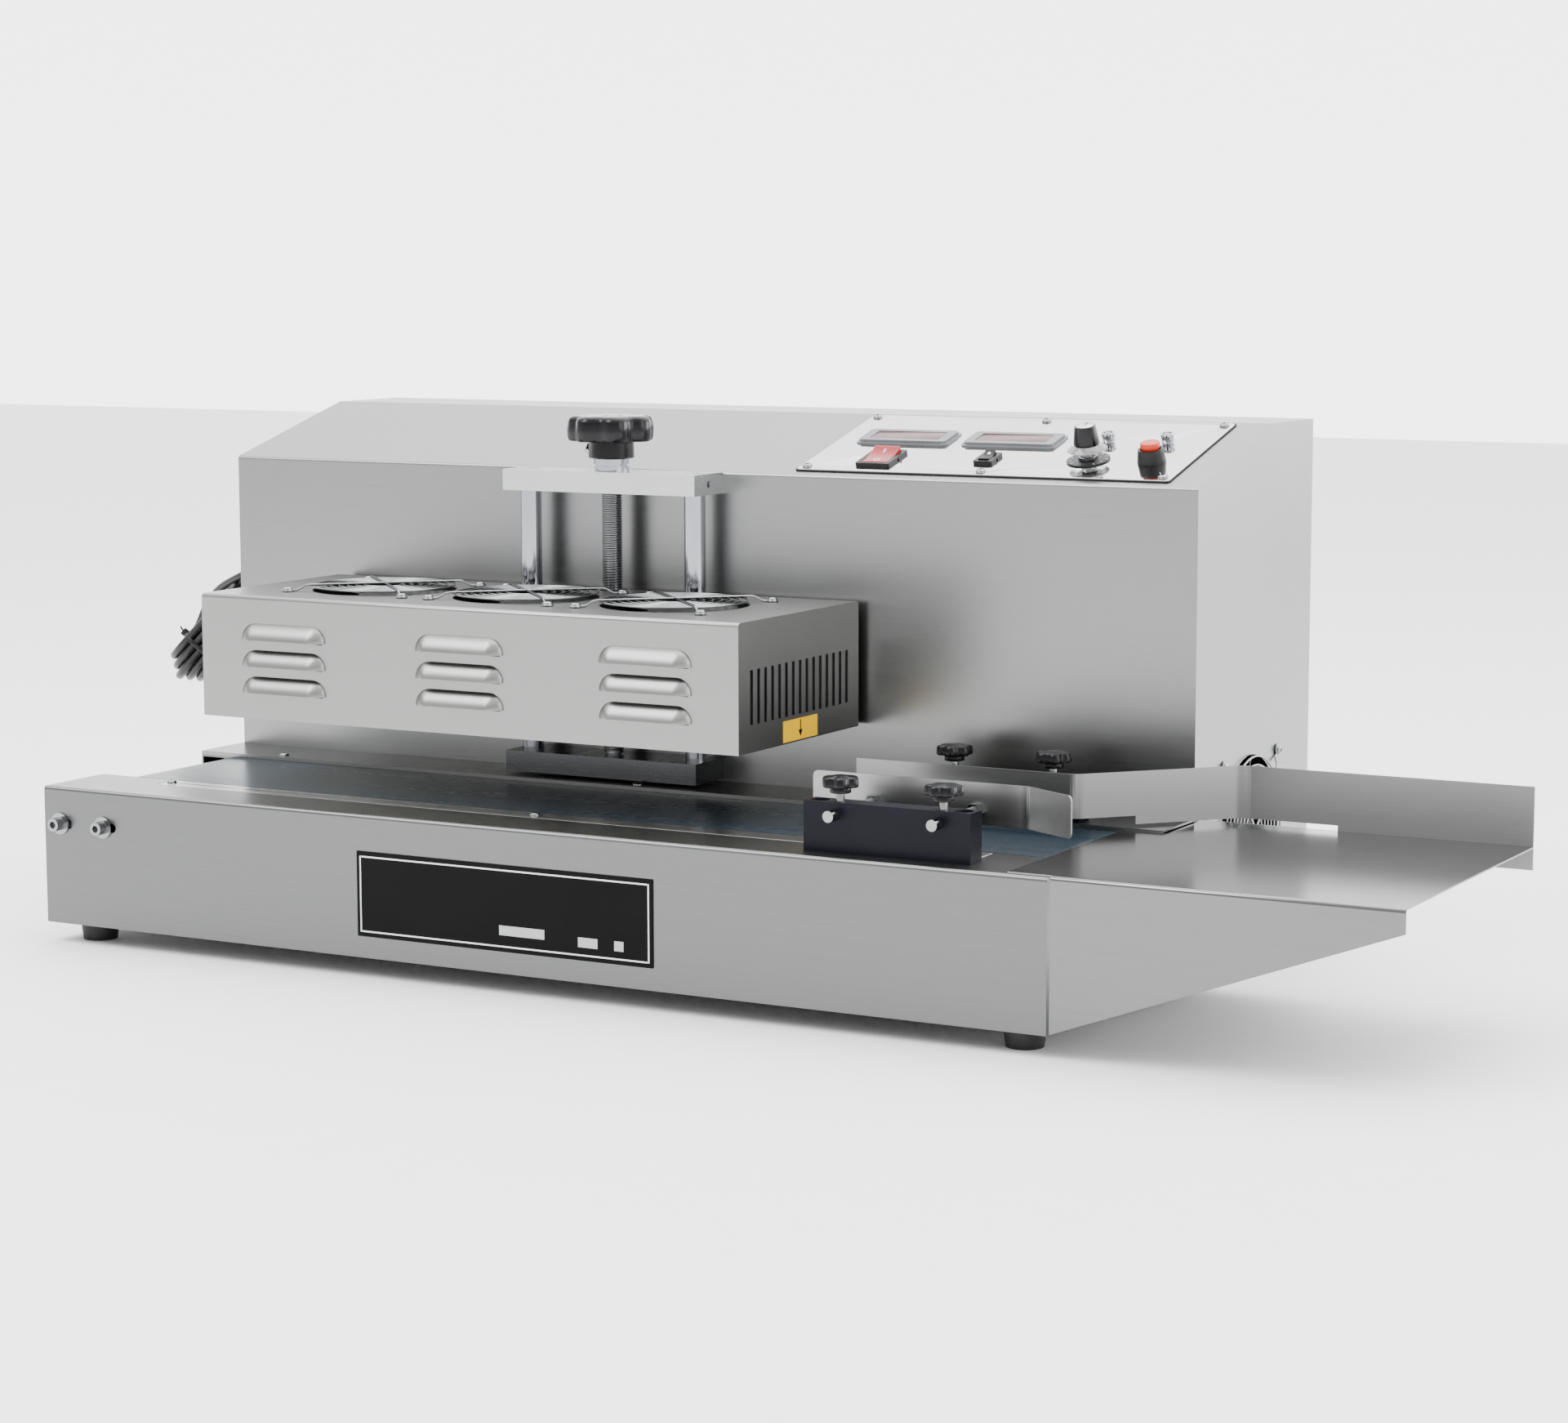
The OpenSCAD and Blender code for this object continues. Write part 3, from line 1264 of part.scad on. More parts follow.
base_housing();
base_floor();
rubber_feet();
nameplate();
tower_shell();
rear_cover();
case_screws();
control_panel();
panel_meters();
switch_housings();
main_rocker();
small_rocker();
push_button();
lamp_bezels();
speed_potentiometer();
speed_knob();
upper_block();
lower_block();
guide_columns();
thrust_bearing();
lead_screw();
lift_knob();
head_shell();
head_base_plate();
lift_carriage();
column_bushings();
lift_nut();
induction_coil();
ferrite_bars();
head_fan_frames();
head_fan_left();
head_fan_middle();
head_fan_right();
head_fan_guards();
guard_screws();
belt();
belt_bed();
belt_side_strip();
drive_roller();
idler_roller();
roller_carriers();
tension_bolts();
gear_motor();
guide_blocks();
front_guide_rods();
front_guide_plate();
rear_guide_fence();
front_left_clamp();
front_right_clamp();
rear_left_clamp();
rear_right_clamp();
infeed_tray();
tower_fan_frame();
tower_fan_rotor();
tower_fan_guard();
power_board();
cord_gland();
power_cord();
cord_hank();
power_plug();
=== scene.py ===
import math

import bpy
from mathutils import Matrix, Vector


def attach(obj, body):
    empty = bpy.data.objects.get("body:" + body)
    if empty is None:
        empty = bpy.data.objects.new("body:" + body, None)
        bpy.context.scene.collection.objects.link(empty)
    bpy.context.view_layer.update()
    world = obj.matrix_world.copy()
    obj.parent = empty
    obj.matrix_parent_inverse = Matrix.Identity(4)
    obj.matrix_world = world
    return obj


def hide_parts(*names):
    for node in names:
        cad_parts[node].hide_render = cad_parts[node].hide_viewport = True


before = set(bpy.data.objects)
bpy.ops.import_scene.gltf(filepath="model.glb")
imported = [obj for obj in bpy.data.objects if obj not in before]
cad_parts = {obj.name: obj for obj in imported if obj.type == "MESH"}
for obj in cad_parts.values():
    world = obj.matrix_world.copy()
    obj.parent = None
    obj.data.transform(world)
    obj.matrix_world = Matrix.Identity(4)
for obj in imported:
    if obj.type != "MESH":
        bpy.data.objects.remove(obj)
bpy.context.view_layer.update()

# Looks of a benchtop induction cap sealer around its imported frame.
# Sizes are in millimetres, measured as in the part's source: x from the base's left end,
# y from its front wall, z up from the table. spot() turns them into the frame's metres.
MID_X, MID_Y = 541.5, 231.25
IMAGE_W = 1920
BASE_L, BASE_D, DECK_Z, REAR_DECK_Z = 840, 248, 120, 123
TOWER_EDGE_Z, SLOPE = 358, math.atan2(39, 141)
LIFT_X, LIFT_Y = 370, 227
HEAD = ((107, 61, 174), (575, 240, 267))
FAN_X, FAN_Y, FAN_HOLES = (212, 341, 470), 151.5, 105
TOWER_FAN = (BASE_L, 354, 101)
PANEL_X, PANEL_LOW, PANEL_T, PANEL_W, PANEL_H = 513.5, 9, 1.5, 300, 131
METERS_AT, LAMPS_AT = ((57.4, 76), (145.5, 76)), ((219.3, 82), (265.5, 83.5))
POWER_AT, MODE_AT, KNOB_AT, BUTTON_AT = (58.5, 27), (143.5, 33), (221.6, 38.8), (271, 39.5)
LOUVER_X, LOUVER_Z = (183, 341, 499), (194, 214, 234)
CLAMPS = {"clamp_fl": ("front_left_clamp", 673.5, 27.5), "clamp_fr": ("front_right_clamp", 751.5, 27.5),
          "clamp_rl": ("rear_left_clamp", 673.5, 201.5), "clamp_rr": ("rear_right_clamp", 751.5, 201.5)}
NAMEPLATE = (291.5, 31, 250, 62.5)
DECK_SCREWS_X, DECK_SCREWS_Y, REAR_SCREWS_Y = (76.2, 407, 737.8), 58.5, 201
COVER_SCREWS_X, COVER_SCREWS_Z, COVER_Y = (7.5, 420, 832.5), (24.5, 389.5), 469
GUIDE_SCREWS_X, GUIDE_SCREWS_Y, GUIDE_TOP = (658.5, 766.5), (27.5, 201.5), 146.6
CORD_D = 7
CORD_ROUTE = ((-32, 316, 255.5), (-43, 316, 255), (-53.8, 316.5, 251.5), (-76.9, 322, 241.5),
              (-91.2, 325.5, 231), (-101.2, 328.6, 220), (-106.5, 328.5, 209.5))
HANK_LOW, HANK_YAW, HANK_LEAN = (-111, 302, 164), math.radians(29), math.radians(48)
HANK_L, HANK_FOLD, HANK_STEP = 112, 21, 5
PLUG_X, PLUG_SIDE = 87.5, 38.8
OUTWARD = Matrix.Rotation(math.pi / 2, 4, "Y")
WELD = 0.000002
# Each light's name, place, aim, size and power, in metres and watts
LIGHTS = (("key", (-1.4, -1.6, 2.6), (0, 0, 0.15), 1.8, 90),
          ("fill", (2.8, -0.6, 1.4), (0.2, 0, 0.2), 1.6, 30),
          ("top", (0.2, 0.3, 3.0), (0, 0, 0.1), 2.4, 60),
          ("rim", (2.2, 2.2, 0.9), (0.3, 0.1, 0.2), 1.4, 40))


def spot(x, y, z):
    """A point of the part's working frame, in the frame's metres."""
    return Vector((x - MID_X, y - MID_Y, z)) / 1000


def on_panel(u, v, h=0):
    """Where a control sits: along and up the panel from its lower left corner, and above its face."""
    corner = Matrix.Translation(spot(PANEL_X, BASE_D, TOWER_EDGE_Z)) @ Matrix.Rotation(SLOPE, 4, "X")
    return corner @ Matrix.Translation(Vector((u, PANEL_LOW + v, PANEL_T + h)) / 1000)


def upright(x, y, z, turn=0.0):
    """A place with its axis pointing up."""
    return Matrix.Translation(spot(x, y, z)) @ Matrix.Rotation(turn, 4, "Z")


def facing(x, y, z, axis, angle):
    """A place whose axis is tipped about x or y."""
    return Matrix.Translation(spot(x, y, z)) @ Matrix.Rotation(angle, 4, axis)


# Camera and cord come first

def add_camera():
    yaw, pitch, roll = 0.5065, 0.1301, -0.0019
    focal_px = 4358.2
    ahead = Vector((-math.sin(yaw) * math.cos(pitch), math.cos(yaw) * math.cos(pitch), -math.sin(pitch)))
    right = Vector((math.cos(yaw), math.sin(yaw), 0))
    up = right.cross(ahead)
    side = right * math.cos(roll) + up * math.sin(roll)
    top = up * math.cos(roll) - right * math.sin(roll)
    lens = bpy.data.cameras.new("photo_camera")
    lens.sensor_fit = "HORIZONTAL"
    lens.sensor_width = 36
    lens.lens = focal_px * lens.sensor_width / IMAGE_W
    lens.clip_end = 50
    camera = bpy.data.objects.new("photo_camera", lens)
    place = Matrix.Translation(spot(1794.84, -2072.42, 526.88))
    camera.matrix_world = place @ Matrix((side, top, -ahead)).transposed().to_4x4()
    bpy.context.scene.collection.objects.link(camera)
    bpy.context.scene.camera = camera


def in_hank(x, y, z):
    """A place in the hank: up its length from the low end, across it and through its turns."""
    turn = Matrix.Rotation(HANK_YAW, 4, "Z") @ Matrix.Rotation(-HANK_LEAN, 4, "Y")
    return Matrix.Translation(spot(*HANK_LOW)) @ turn @ Matrix.Translation(Vector((x, y, z)) / 1000)


def hank_point(x, y, z):
    return in_hank(x, y, z).to_translation()


def fold(x, z, side, z_end, y_end=None, steps=16):
    """Half a turn at one end of the hank; side is -1 at the low end and 1 at the top."""
    y_start = -HANK_FOLD * side
    y_end = -y_start if y_end is None else y_end
    bulge = math.hypot(y_end - y_start, z_end - z) / 2
    points = []
    for i in range(1, steps + 1):
        turn = math.pi * i / steps
        share = (1 - math.cos(turn)) / 2
        points.append(hank_point(x + side * bulge * math.sin(turn), y_start + (y_end - y_start) * share,
                                 z + (z_end - z) * share))
    return points


def run(x_from, x_to, y, z_from, z_to, steps=10):
    """One straight run of the hank, which eases over to the next layer."""
    points = []
    for i in range(1, steps + 1):
        share = i / steps
        ease = share * share * (3 - 2 * share)
        points.append(hank_point(x_from + (x_to - x_from) * share, y, z_from + (z_to - z_from) * ease))
    return points


def rounded_route(points, steps=8):
    """A smooth line through the points."""
    line = []
    for i in range(len(points) - 1):
        a, b = points[max(i - 1, 0)], points[i]
        c, d = points[i + 1], points[min(i + 2, len(points) - 1)]
        for k in range(steps):
            t = k / steps
            bow = (2 * b) + (c - a) * t + (2 * a - 5 * b + 4 * c - d) * t ** 2
            line.append(0.5 * (bow + (3 * b - a - 3 * c + d) * t ** 3))
    return line + [points[-1]]


def cord_line():
    """The whole lead: out of the gland, down to the hank, round its layers and into the plug."""
    bend = HANK_FOLD + CORD_D / 2
    layers = [2 * CORD_D, CORD_D, 0, -CORD_D, -2 * CORD_D]
    lows = [bend + HANK_STEP * abs(z) / CORD_D for z in layers]
    start = layers[0] + 1.2
    line = rounded_route([spot(*p) for p in CORD_ROUTE] + [hank_point(lows[0], HANK_FOLD, start)])
    for i, z in enumerate(layers):
        line += fold(lows[i], start, -1, z)
        if i < len(layers) - 1:
            line += run(lows[i], HANK_L - lows[i], -HANK_FOLD, z, z)
            line += fold(HANK_L - lows[i], z, 1, z)
            line += run(HANK_L - lows[i], lows[i + 1], HANK_FOLD, z, layers[i + 1])
            start = layers[i + 1]
    line += run(lows[-1], HANK_L - bend, -HANK_FOLD, layers[-1], layers[-1])
    line += fold(HANK_L - bend, layers[-1], 1, 0, PLUG_SIDE)
    return line


def poly_curve(name, points, thickness, resolution, closed=False):
    """A round bar through points in metres, that many mm thick."""
    data = bpy.data.curves.new(name, "CURVE")
    data.dimensions = "3D"
    data.bevel_depth = thickness / 2000
    data.bevel_resolution = resolution
    data.use_fill_caps = True
    spline = data.splines.new("POLY")
    spline.points.add(len(points) - 1)
    for point, place in zip(spline.points, points):
        point.co = (*place, 1)
    spline.use_cyclic_u = closed
    obj = bpy.data.objects.new(name, data)
    bpy.context.scene.collection.objects.link(obj)
    return obj


def add_cord():
    line = cord_line()
    cord = poly_curve("mains_cord", line, CORD_D, 5)
    length = sum((b - a).length for a, b in zip(line, line[1:]))
    return cord, length


# Materials

def colour(code):
    """An sRGB hex value as linear colour."""
    parts = [int(code[i:i + 2], 16) / 255 for i in (1, 3, 5)]
    return (*[c / 12.92 if c <= 0.04045 else ((c + 0.055) / 1.055) ** 2.4 for c in parts], 1)


def add_node(tree, kind, links=None, values=None, **settings):
    """Adds a node with its settings, input values and links from (node, output) pairs."""
    made = tree.nodes.new(kind)
    for name, value in settings.items():
        setattr(made, name, value)
    for name, value in (values or {}).items():
        made.inputs[name].default_value = value
    for name, (source, output) in (links or {}).items():
        tree.links.new(source.outputs[output], made.inputs[name])
    return made


def new_material(name, **shader):
    """A material with its shader's constants set; also gives its tree, shader and coordinates."""
    made = bpy.data.materials.new(name)
    made.use_nodes = True
    tree = made.node_tree
    surface = tree.nodes["Principled BSDF"]
    for key, value in shader.items():
        surface.inputs[key.replace("_", " ")].default_value = value
    return made, tree, surface, add_node(tree, "ShaderNodeTexCoord")


def tone_between(tree, surface, factor, dark, light):
    """Colours the shader between two tones by a (node, output) pair."""
    tone = add_node(tree, "ShaderNodeMix", {"Factor": factor}, data_type="RGBA")
    colours = [s for s in tone.inputs if s.type == "RGBA"]
    colours[0].default_value, colours[1].default_value = colour(dark), colour(light)
    tree.links.new([s for s in tone.outputs if s.type == "RGBA"][0], surface.inputs["Base Color"])


def swing_roughness(tree, surface, source, rough, span=(0.3, 0.7)):
    """Swings the roughness between two values as a (node, output) pair goes through its span."""
    swing = add_node(tree, "ShaderNodeMapRange", {"Value": source},
                     {"From Min": span[0], "From Max": span[1], "To Min": rough[0], "To Max": rough[1]})
    tree.links.new(swing.outputs["Result"], surface.inputs["Roughness"])


def raise_grain(tree, surface, source, strength, distance):
    """Gives the surface relief by a (node, output) pair; distance in metres."""
    relief = add_node(tree, "ShaderNodeBump", {"Height": source},
                      {"Strength": strength, "Distance": distance})
    tree.links.new(relief.outputs["Normal"], surface.inputs["Normal"])


def brushed_metal(name, dark, light, rough, grain, bump, cloud=300):
    """Sheet or bar with a linear finish. grain is the line size in mm along x, y and z; rough is the
    range of roughness that the lines swing through; cloud is the size in mm of slow tone changes."""
    made, tree, surface, coords = new_material(name, Metallic=1.0)
    stretch = add_node(tree, "ShaderNodeMapping", {"Vector": (coords, "Object")},
                       {"Scale": [1000 / g for g in grain]})
    lines = add_node(tree, "ShaderNodeTexNoise", {"Vector": (stretch, "Vector")},
                     {"Scale": 1.0, "Detail": 4.0, "Roughness": 0.6})
    slow = add_node(tree, "ShaderNodeTexNoise", {"Vector": (coords, "Object")},
                    {"Scale": 1000 / cloud, "Detail": 2.0})
    both = add_node(tree, "ShaderNodeMix", {"A": (lines, "Fac"), "B": (slow, "Fac")}, {"Factor": 0.4})
    tone_between(tree, surface, (both, "Result"), dark, light)
    swing_roughness(tree, surface, (both, "Result"), rough)
    raise_grain(tree, surface, (lines, "Fac"), bump, 0.0001)
    return made


def grained(name, dark, light, rough, grain, bump, **shader):
    """Moulded, painted or rubber skin with an even grain of that size in mm."""
    made, tree, surface, coords = new_material(name, **shader)
    skin = add_node(tree, "ShaderNodeTexNoise", {"Vector": (coords, "Object")},
                    {"Scale": 1000 / grain, "Detail": 3.0})
    slow = add_node(tree, "ShaderNodeTexNoise", {"Vector": (coords, "Object")},
                    {"Scale": 25.0, "Detail": 2.0})
    tone_between(tree, surface, (slow, "Fac"), dark, light)
    swing_roughness(tree, surface, (skin, "Fac"), rough)
    raise_grain(tree, surface, (skin, "Fac"), bump, 0.0002)
    return made


def belt_cloth():
    """PVC-coated conveyor belt: a fine woven print shows through a dull blue-grey skin with soft scuffs."""
    made, tree, surface, coords = new_material("pvc_coated_belt", Specular_IOR_Level=0.4)
    thread = 2.4
    across, along = [add_node(tree, "ShaderNodeTexWave", {"Vector": (coords, "Object")},
                              {"Scale": 1000 / thread / 2}, bands_direction=axis) for axis in "XY"]
    weave = add_node(tree, "ShaderNodeMath", {0: (across, "Fac"), 1: (along, "Fac")}, operation="MULTIPLY")
    scuff_map = add_node(tree, "ShaderNodeMapping", {"Vector": (coords, "Object")}, {"Scale": (4, 60, 10)})
    scuffs = add_node(tree, "ShaderNodeTexNoise", {"Vector": (scuff_map, "Vector")},
                      {"Scale": 1.0, "Detail": 5.0})
    tone_between(tree, surface, (scuffs, "Fac"), "#1a242b", "#25303a")
    swing_roughness(tree, surface, (scuffs, "Fac"), (0.25, 0.31), (0, 1))
    raise_grain(tree, surface, (weave, "Value"), 0.03, 0.0002)
    return made


def clear_acrylic(name, tint, rough=0.05):
    """Moulded acrylic: glossy and see-through, with the tint of the window."""
    made, tree, surface, coords = new_material(name, Transmission_Weight=0.85, IOR=1.49)
    haze = add_node(tree, "ShaderNodeTexNoise", {"Vector": (coords, "Object")}, {"Scale": 300.0})
    swing_roughness(tree, surface, (haze, "Fac"), (rough, rough + 0.06), (0, 1))
    surface.inputs["Base Color"].default_value = colour(tint)
    return made


FINISH = {
    # Cold-rolled stainless, belt-polished lengthwise; real lines are 0.1 mm, drawn 1.2 mm wide so they show
    "stainless": brushed_metal("hairline_stainless_sheet", "#7c7d7d", "#8e8f8e", (0.26, 0.34),
                               (90, 1.2, 1.2), 0.02),
    # Base and tray mirror the floor; their tones are painted darker than the tower's, as painted shade
    "base": brushed_metal("hairline_stainless_base_painted_shade", "#626363", "#727372", (0.26, 0.34),
                          (90, 1.2, 1.2), 0.02),
    "tray": brushed_metal("hairline_stainless_tray_painted_shade", "#666767", "#787877", (0.15, 0.21),
                          (120, 1.2, 1.2), 0.015),
    # The head's shell is the same sheet, dulled by hand; its tones are painted lighter than the tower's, as
    # painted light
    "head": brushed_metal("satin_stainless_painted_light", "#868786", "#969694", (0.3, 0.38), (40, 1.4, 1.4), 0.02),
    # Guides keep the mill's brighter face
    "bright_sheet": brushed_metal("bright_stainless_sheet", "#858686", "#9a9a99", (0.27, 0.35),
                                  (120, 1.2, 1.2), 0.015),
    # Polished panel that mirrors the knobs on it
    "panel": brushed_metal("polished_stainless_panel", "#c4c5c4", "#d0d0ce", (0.04, 0.08),
                           (160, 1.4, 1.4), 0.006),
    # Milled aluminium blocks with the cutter's fine lines
    "aluminium": brushed_metal("milled_aluminium", "#b3b4b6", "#d2d3d4", (0.18, 0.30),
                               (40, 1.2, 1.2), 0.05, 60),
    # The lower block is the upper block's milled aluminium, painted darker as painted shade
    "painted_shade_block": brushed_metal("milled_aluminium_painted_shade", "#4c4d4f", "#66676a", (0.2, 0.3),
                                (40, 1.2, 1.2), 0.04, 60),
    # Ground and hard-chromed bar
    "chrome": brushed_metal("ground_chrome_bar", "#8f9096", "#aeafb6", (0.06, 0.12),
                            (1.5, 1.5, 30), 0.02, 80),
    # Nickel-plated screws and wire
    "plated": brushed_metal("nickel_plated_steel", "#737476", "#9a9b9c", (0.12, 0.22), (2, 2, 2), 0.02, 20),
    "hidden_steel": brushed_metal("plain_mild_steel", "#55585c", "#7b7e82", (0.35, 0.5), (20, 2, 2), 0.1),
    "bronze": brushed_metal("turned_bronze", "#8a6a35", "#b48e4e", (0.2, 0.3), (10, 2, 2), 0.05),
    "copper": brushed_metal("enamelled_copper", "#8a4b24", "#b26a3a", (0.25, 0.35), (8, 2, 2), 0.1),
    # Anodised blocks: nearly black with a blue cast
    "anodised": grained("black_anodised_aluminium", "#080811", "#0f0f1a", (0.28, 0.4), 0.8, 0.04,
                        Specular_IOR_Level=0.12),
    # Phenolic knobs: deep gloss with a faint orange peel
    "phenolic": grained("black_phenolic", "#070709", "#0f0f13", (0.16, 0.28), 2.5, 0.05,
                        Specular_IOR_Level=0.2, Coat_Weight=0.1, Coat_Roughness=0.1),
    # Nylon fan parts and switch bodies
    "nylon": grained("black_nylon", "#0b0b0d", "#141416", (0.35, 0.5), 0.7, 0.06, Specular_IOR_Level=0.3),
    "rubber": grained("black_rubber", "#0d0d0e", "#1a1a1b", (0.5, 0.7), 0.9, 0.15),
    "cord": grained("black_pvc_cord", "#0c0c0d", "#161617", (0.3, 0.45), 1.2, 0.08),
    "belt": belt_cloth(),
    "black_plate": grained("black_lacquered_plate", "#040405", "#09090a", (0.4, 0.5), 0.8, 0.02,
                           Specular_IOR_Level=0.08),
    "white_ink": grained("white_ink", "#d9d9d9", "#ececec", (0.4, 0.55), 0.6, 0.03),
    "grey_ink": grained("grey_ink_field", "#a2a3a5", "#b5b6b8", (0.35, 0.5), 0.8, 0.03),
    "yellow_vinyl": grained("yellow_vinyl", "#dcaa00", "#e8b804", (0.4, 0.5), 1.0, 0.02,
                            Specular_IOR_Level=0.2),
    "meter_bezel": grained("grey_abs_bezel", "#5d5f63", "#6d6f73", (0.3, 0.42), 0.7, 0.06),
    "meter_window": grained("maroon_acrylic_window", "#4b2427", "#5d3033", (0.12, 0.2), 3.0, 0.01,
                            Specular_IOR_Level=0.3, Coat_Weight=0.1),
    "red_rocker": grained("red_polycarbonate", "#8a1216", "#a31c20", (0.16, 0.26), 2.0, 0.03,
                          Specular_IOR_Level=0.3, Coat_Weight=0.1),
    "red_cap": grained("orange_red_abs", "#b52a18", "#c93a24", (0.22, 0.34), 1.4, 0.05,
                       Specular_IOR_Level=0.3),
    "clear": clear_acrylic("clear_acrylic_skirt", "#f4f6f6"),
    "smoke": clear_acrylic("smoked_acrylic_lens", "#8f9296", 0.1),
    "laminate": grained("cream_insulating_board", "#c3bca6", "#d4cdb8", (0.5, 0.65), 1.0, 0.05),
    "ferrite": grained("sintered_ferrite", "#232326", "#333336", (0.5, 0.7), 0.8, 0.15),
    "circuit_board": grained("green_circuit_board", "#1d4a2c", "#2c5f3b", (0.35, 0.5), 1.5, 0.1),
}

NODE_FINISH = {
    "stainless": ["tower_shell", "rear_cover"],
    "base": ["base_housing", "base_floor"],
    "tray": ["infeed_tray"],
    "head": ["head_shell"],
    "bright_sheet": ["front_guide_plate", "rear_guide_fence"],
    "panel": ["control_panel"],
    "aluminium": ["upper_block", "lift_carriage", "belt_side_strip"],
    "painted_shade_block": ["lower_block"],
    "chrome": ["guide_columns", "thrust_bearing"],
    "plated": ["front_guide_rods", "tension_bolts"],
    "hidden_steel": ["belt_bed", "drive_roller", "idler_roller", "roller_carriers", "gear_motor"],
    "bronze": ["column_bushings", "lift_nut"],
    "copper": ["induction_coil"],
    "anodised": ["guide_blocks"],
    "nylon": ["head_fan_frames", "head_fan_left", "head_fan_middle", "head_fan_right", "tower_fan_frame",
              "tower_fan_rotor", "switch_housings", "speed_potentiometer"],
    "rubber": ["rubber_feet"],
    "belt": ["belt"],
    "black_plate": ["nameplate"],
    "meter_bezel": ["panel_meters"],
    "laminate": ["head_base_plate"],
    "ferrite": ["ferrite_bars"],
    "circuit_board": ["power_board"],
}

# Widths in mm of the broken edges of solids that stay in view
SOFT_EDGES = {
    "guide_blocks": 0.6, "upper_block": 0.5, "lower_block": 0.5, "rubber_feet": 1.2, "front_guide_rods": 0.6,
    "tension_bolts": 0.5, "panel_meters": 0.8, "switch_housings": 0.4, "belt_side_strip": 0.3,
    "head_shell": 0.6, "tower_shell": 1.0, "base_housing": 0.5, "infeed_tray": 0.3,
    "front_guide_plate": 0.25, "rear_guide_fence": 0.25, "control_panel": 0.3, "nameplate": 0.25,
}


def dress_frame():
    """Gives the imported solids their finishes, and breaks their sharp edges."""
    for finish, names in NODE_FINISH.items():
        for name in names:
            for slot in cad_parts[name].material_slots:
                slot.material = FINISH[finish]
    for name, width in SOFT_EDGES.items():
        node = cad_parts[name]
        weld = node.modifiers.new("weld", "WELD")
        weld.merge_threshold = WELD
        edge = node.modifiers.new("edge", "BEVEL")
        edge.width = width / 1000
        edge.segments = 2
        edge.limit_method = "ANGLE"
        edge.angle_limit = math.radians(50)


# Modelling steps

def select_only(*objs):
    """Selects these alone and makes the first one active."""
    bpy.ops.object.select_all(action="DESELECT")
    for obj in objs:
        obj.select_set(True)
    bpy.context.view_layer.objects.active = objs[0]


def edit(obj):
    bpy.context.view_layer.objects.active = obj
    bpy.ops.object.mode_set(mode="EDIT")


def leave():
    bpy.ops.object.mode_set(mode="OBJECT")


def apply(obj, kind, **settings):
    """Adds a modifier with its settings and applies it."""
    made = obj.modifiers.new(kind.lower(), kind)
    for name, value in settings.items():
        setattr(made, name, value)
    bpy.context.view_layer.objects.active = obj
    bpy.ops.object.modifier_apply(modifier=made.name)


def rounded(obj, width, segments=2, angle=40):
    """Breaks the sharp edges by that many mm."""
    apply(obj, "BEVEL", width=width / 1000, segments=segments, limit_method="ANGLE",
          angle_limit=math.radians(angle))
    return obj


def settle(obj, place):
    """Puts a piece in its place and leaves its object at the origin."""
    obj.matrix_world = place @ obj.matrix_world
    select_only(obj)
    bpy.ops.object.transform_apply(location=True, rotation=True, scale=True)
    return obj


def joined(parts):
    select_only(*parts)
    bpy.ops.object.join()
    return parts[0]


def coated(obj, finish):
    obj.data.materials.clear()
    obj.data.materials.append(FINISH[finish])
    return obj


def copy_of(obj):
    twin = obj.copy()
    twin.data = obj.data.copy()
    bpy.context.scene.collection.objects.link(twin)
    return twin


def at_each(piece, places):
    """Copies of a piece, one at each place, in its stead."""
    copies = [settle(copy_of(piece), place) for place in places]
    bpy.data.objects.remove(piece)
    return copies


def finished(obj, name, body, slot, *nodes):
    """Names a piece, smooths it and ties it to its body and the solids that it stands for; slot is not used.
    """
    obj.name = obj.data.name = name
    select_only(obj)
    if obj.type == "MESH":
        bpy.ops.object.shade_smooth_by_angle(angle=math.radians(38))
    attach(obj, body)
    if nodes:
        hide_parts(*nodes)
    return obj


def stacked(obj, rings):
    """Raises a disc through its rings of (size, height in mm) and turns its faces outward."""
    edit(obj)
    bpy.ops.mesh.select_all(action="SELECT")
    for (size, height), (next_size, next_height) in zip(rings, rings[1:]):
        step, scale = (0, 0, (next_height - height) / 1000), next_size / size
        bpy.ops.mesh.extrude_region_move(TRANSFORM_OT_translate={"value": step})
        bpy.ops.transform.resize(value=(scale, scale, 1))
    bpy.ops.mesh.select_all(action="SELECT")
    bpy.ops.mesh.normals_make_consistent(inside=False)
    leave()
    return obj


def turned(rings, sides=48):
    """A turned piece about z: rings are (radius, height) in mm, from its first face to its last."""
    radius, height = rings[0]
    bpy.ops.object.select_all(action="DESELECT")
    bpy.ops.mesh.primitive_circle_add(vertices=sides, radius=radius / 1000, fill_type="NGON",
                                      location=(0, 0, height / 1000))
    bpy.ops.object.transform_apply(location=True)
    return stacked(bpy.context.object, rings)


def slab(width, depth, height, edge=0.0, segments=2):
    """A block that stands on z = 0, centred, with broken edges."""
    bpy.ops.object.select_all(action="DESELECT")
    bpy.ops.mesh.primitive_cube_add(size=0.001, location=(0, 0, height / 2000))
    obj = bpy.context.object
    obj.scale = (width, depth, height)
    bpy.ops.object.transform_apply(location=True, scale=True)
    return rounded(obj, edge, segments) if edge else obj


def star(radius, lobes, depth, rings):
    """A grip with lobes; rings are (scale, height) in mm from its underside to the middle of its top."""
    bpy.ops.object.select_all(action="DESELECT")
    bpy.ops.mesh.primitive_circle_add(vertices=lobes * 16, radius=radius / 1000, fill_type="NGON")
    obj = bpy.context.object
    for vertex in obj.data.vertices:
        angle = math.atan2(vertex.co.y, vertex.co.x)
        hollow = (0.5 - 0.5 * math.cos(lobes * angle)) ** 1.6
        vertex.co *= (1 - depth * hollow) * rings[0][0]
        vertex.co.z = rings[0][1] / 1000
    return stacked(obj, rings)


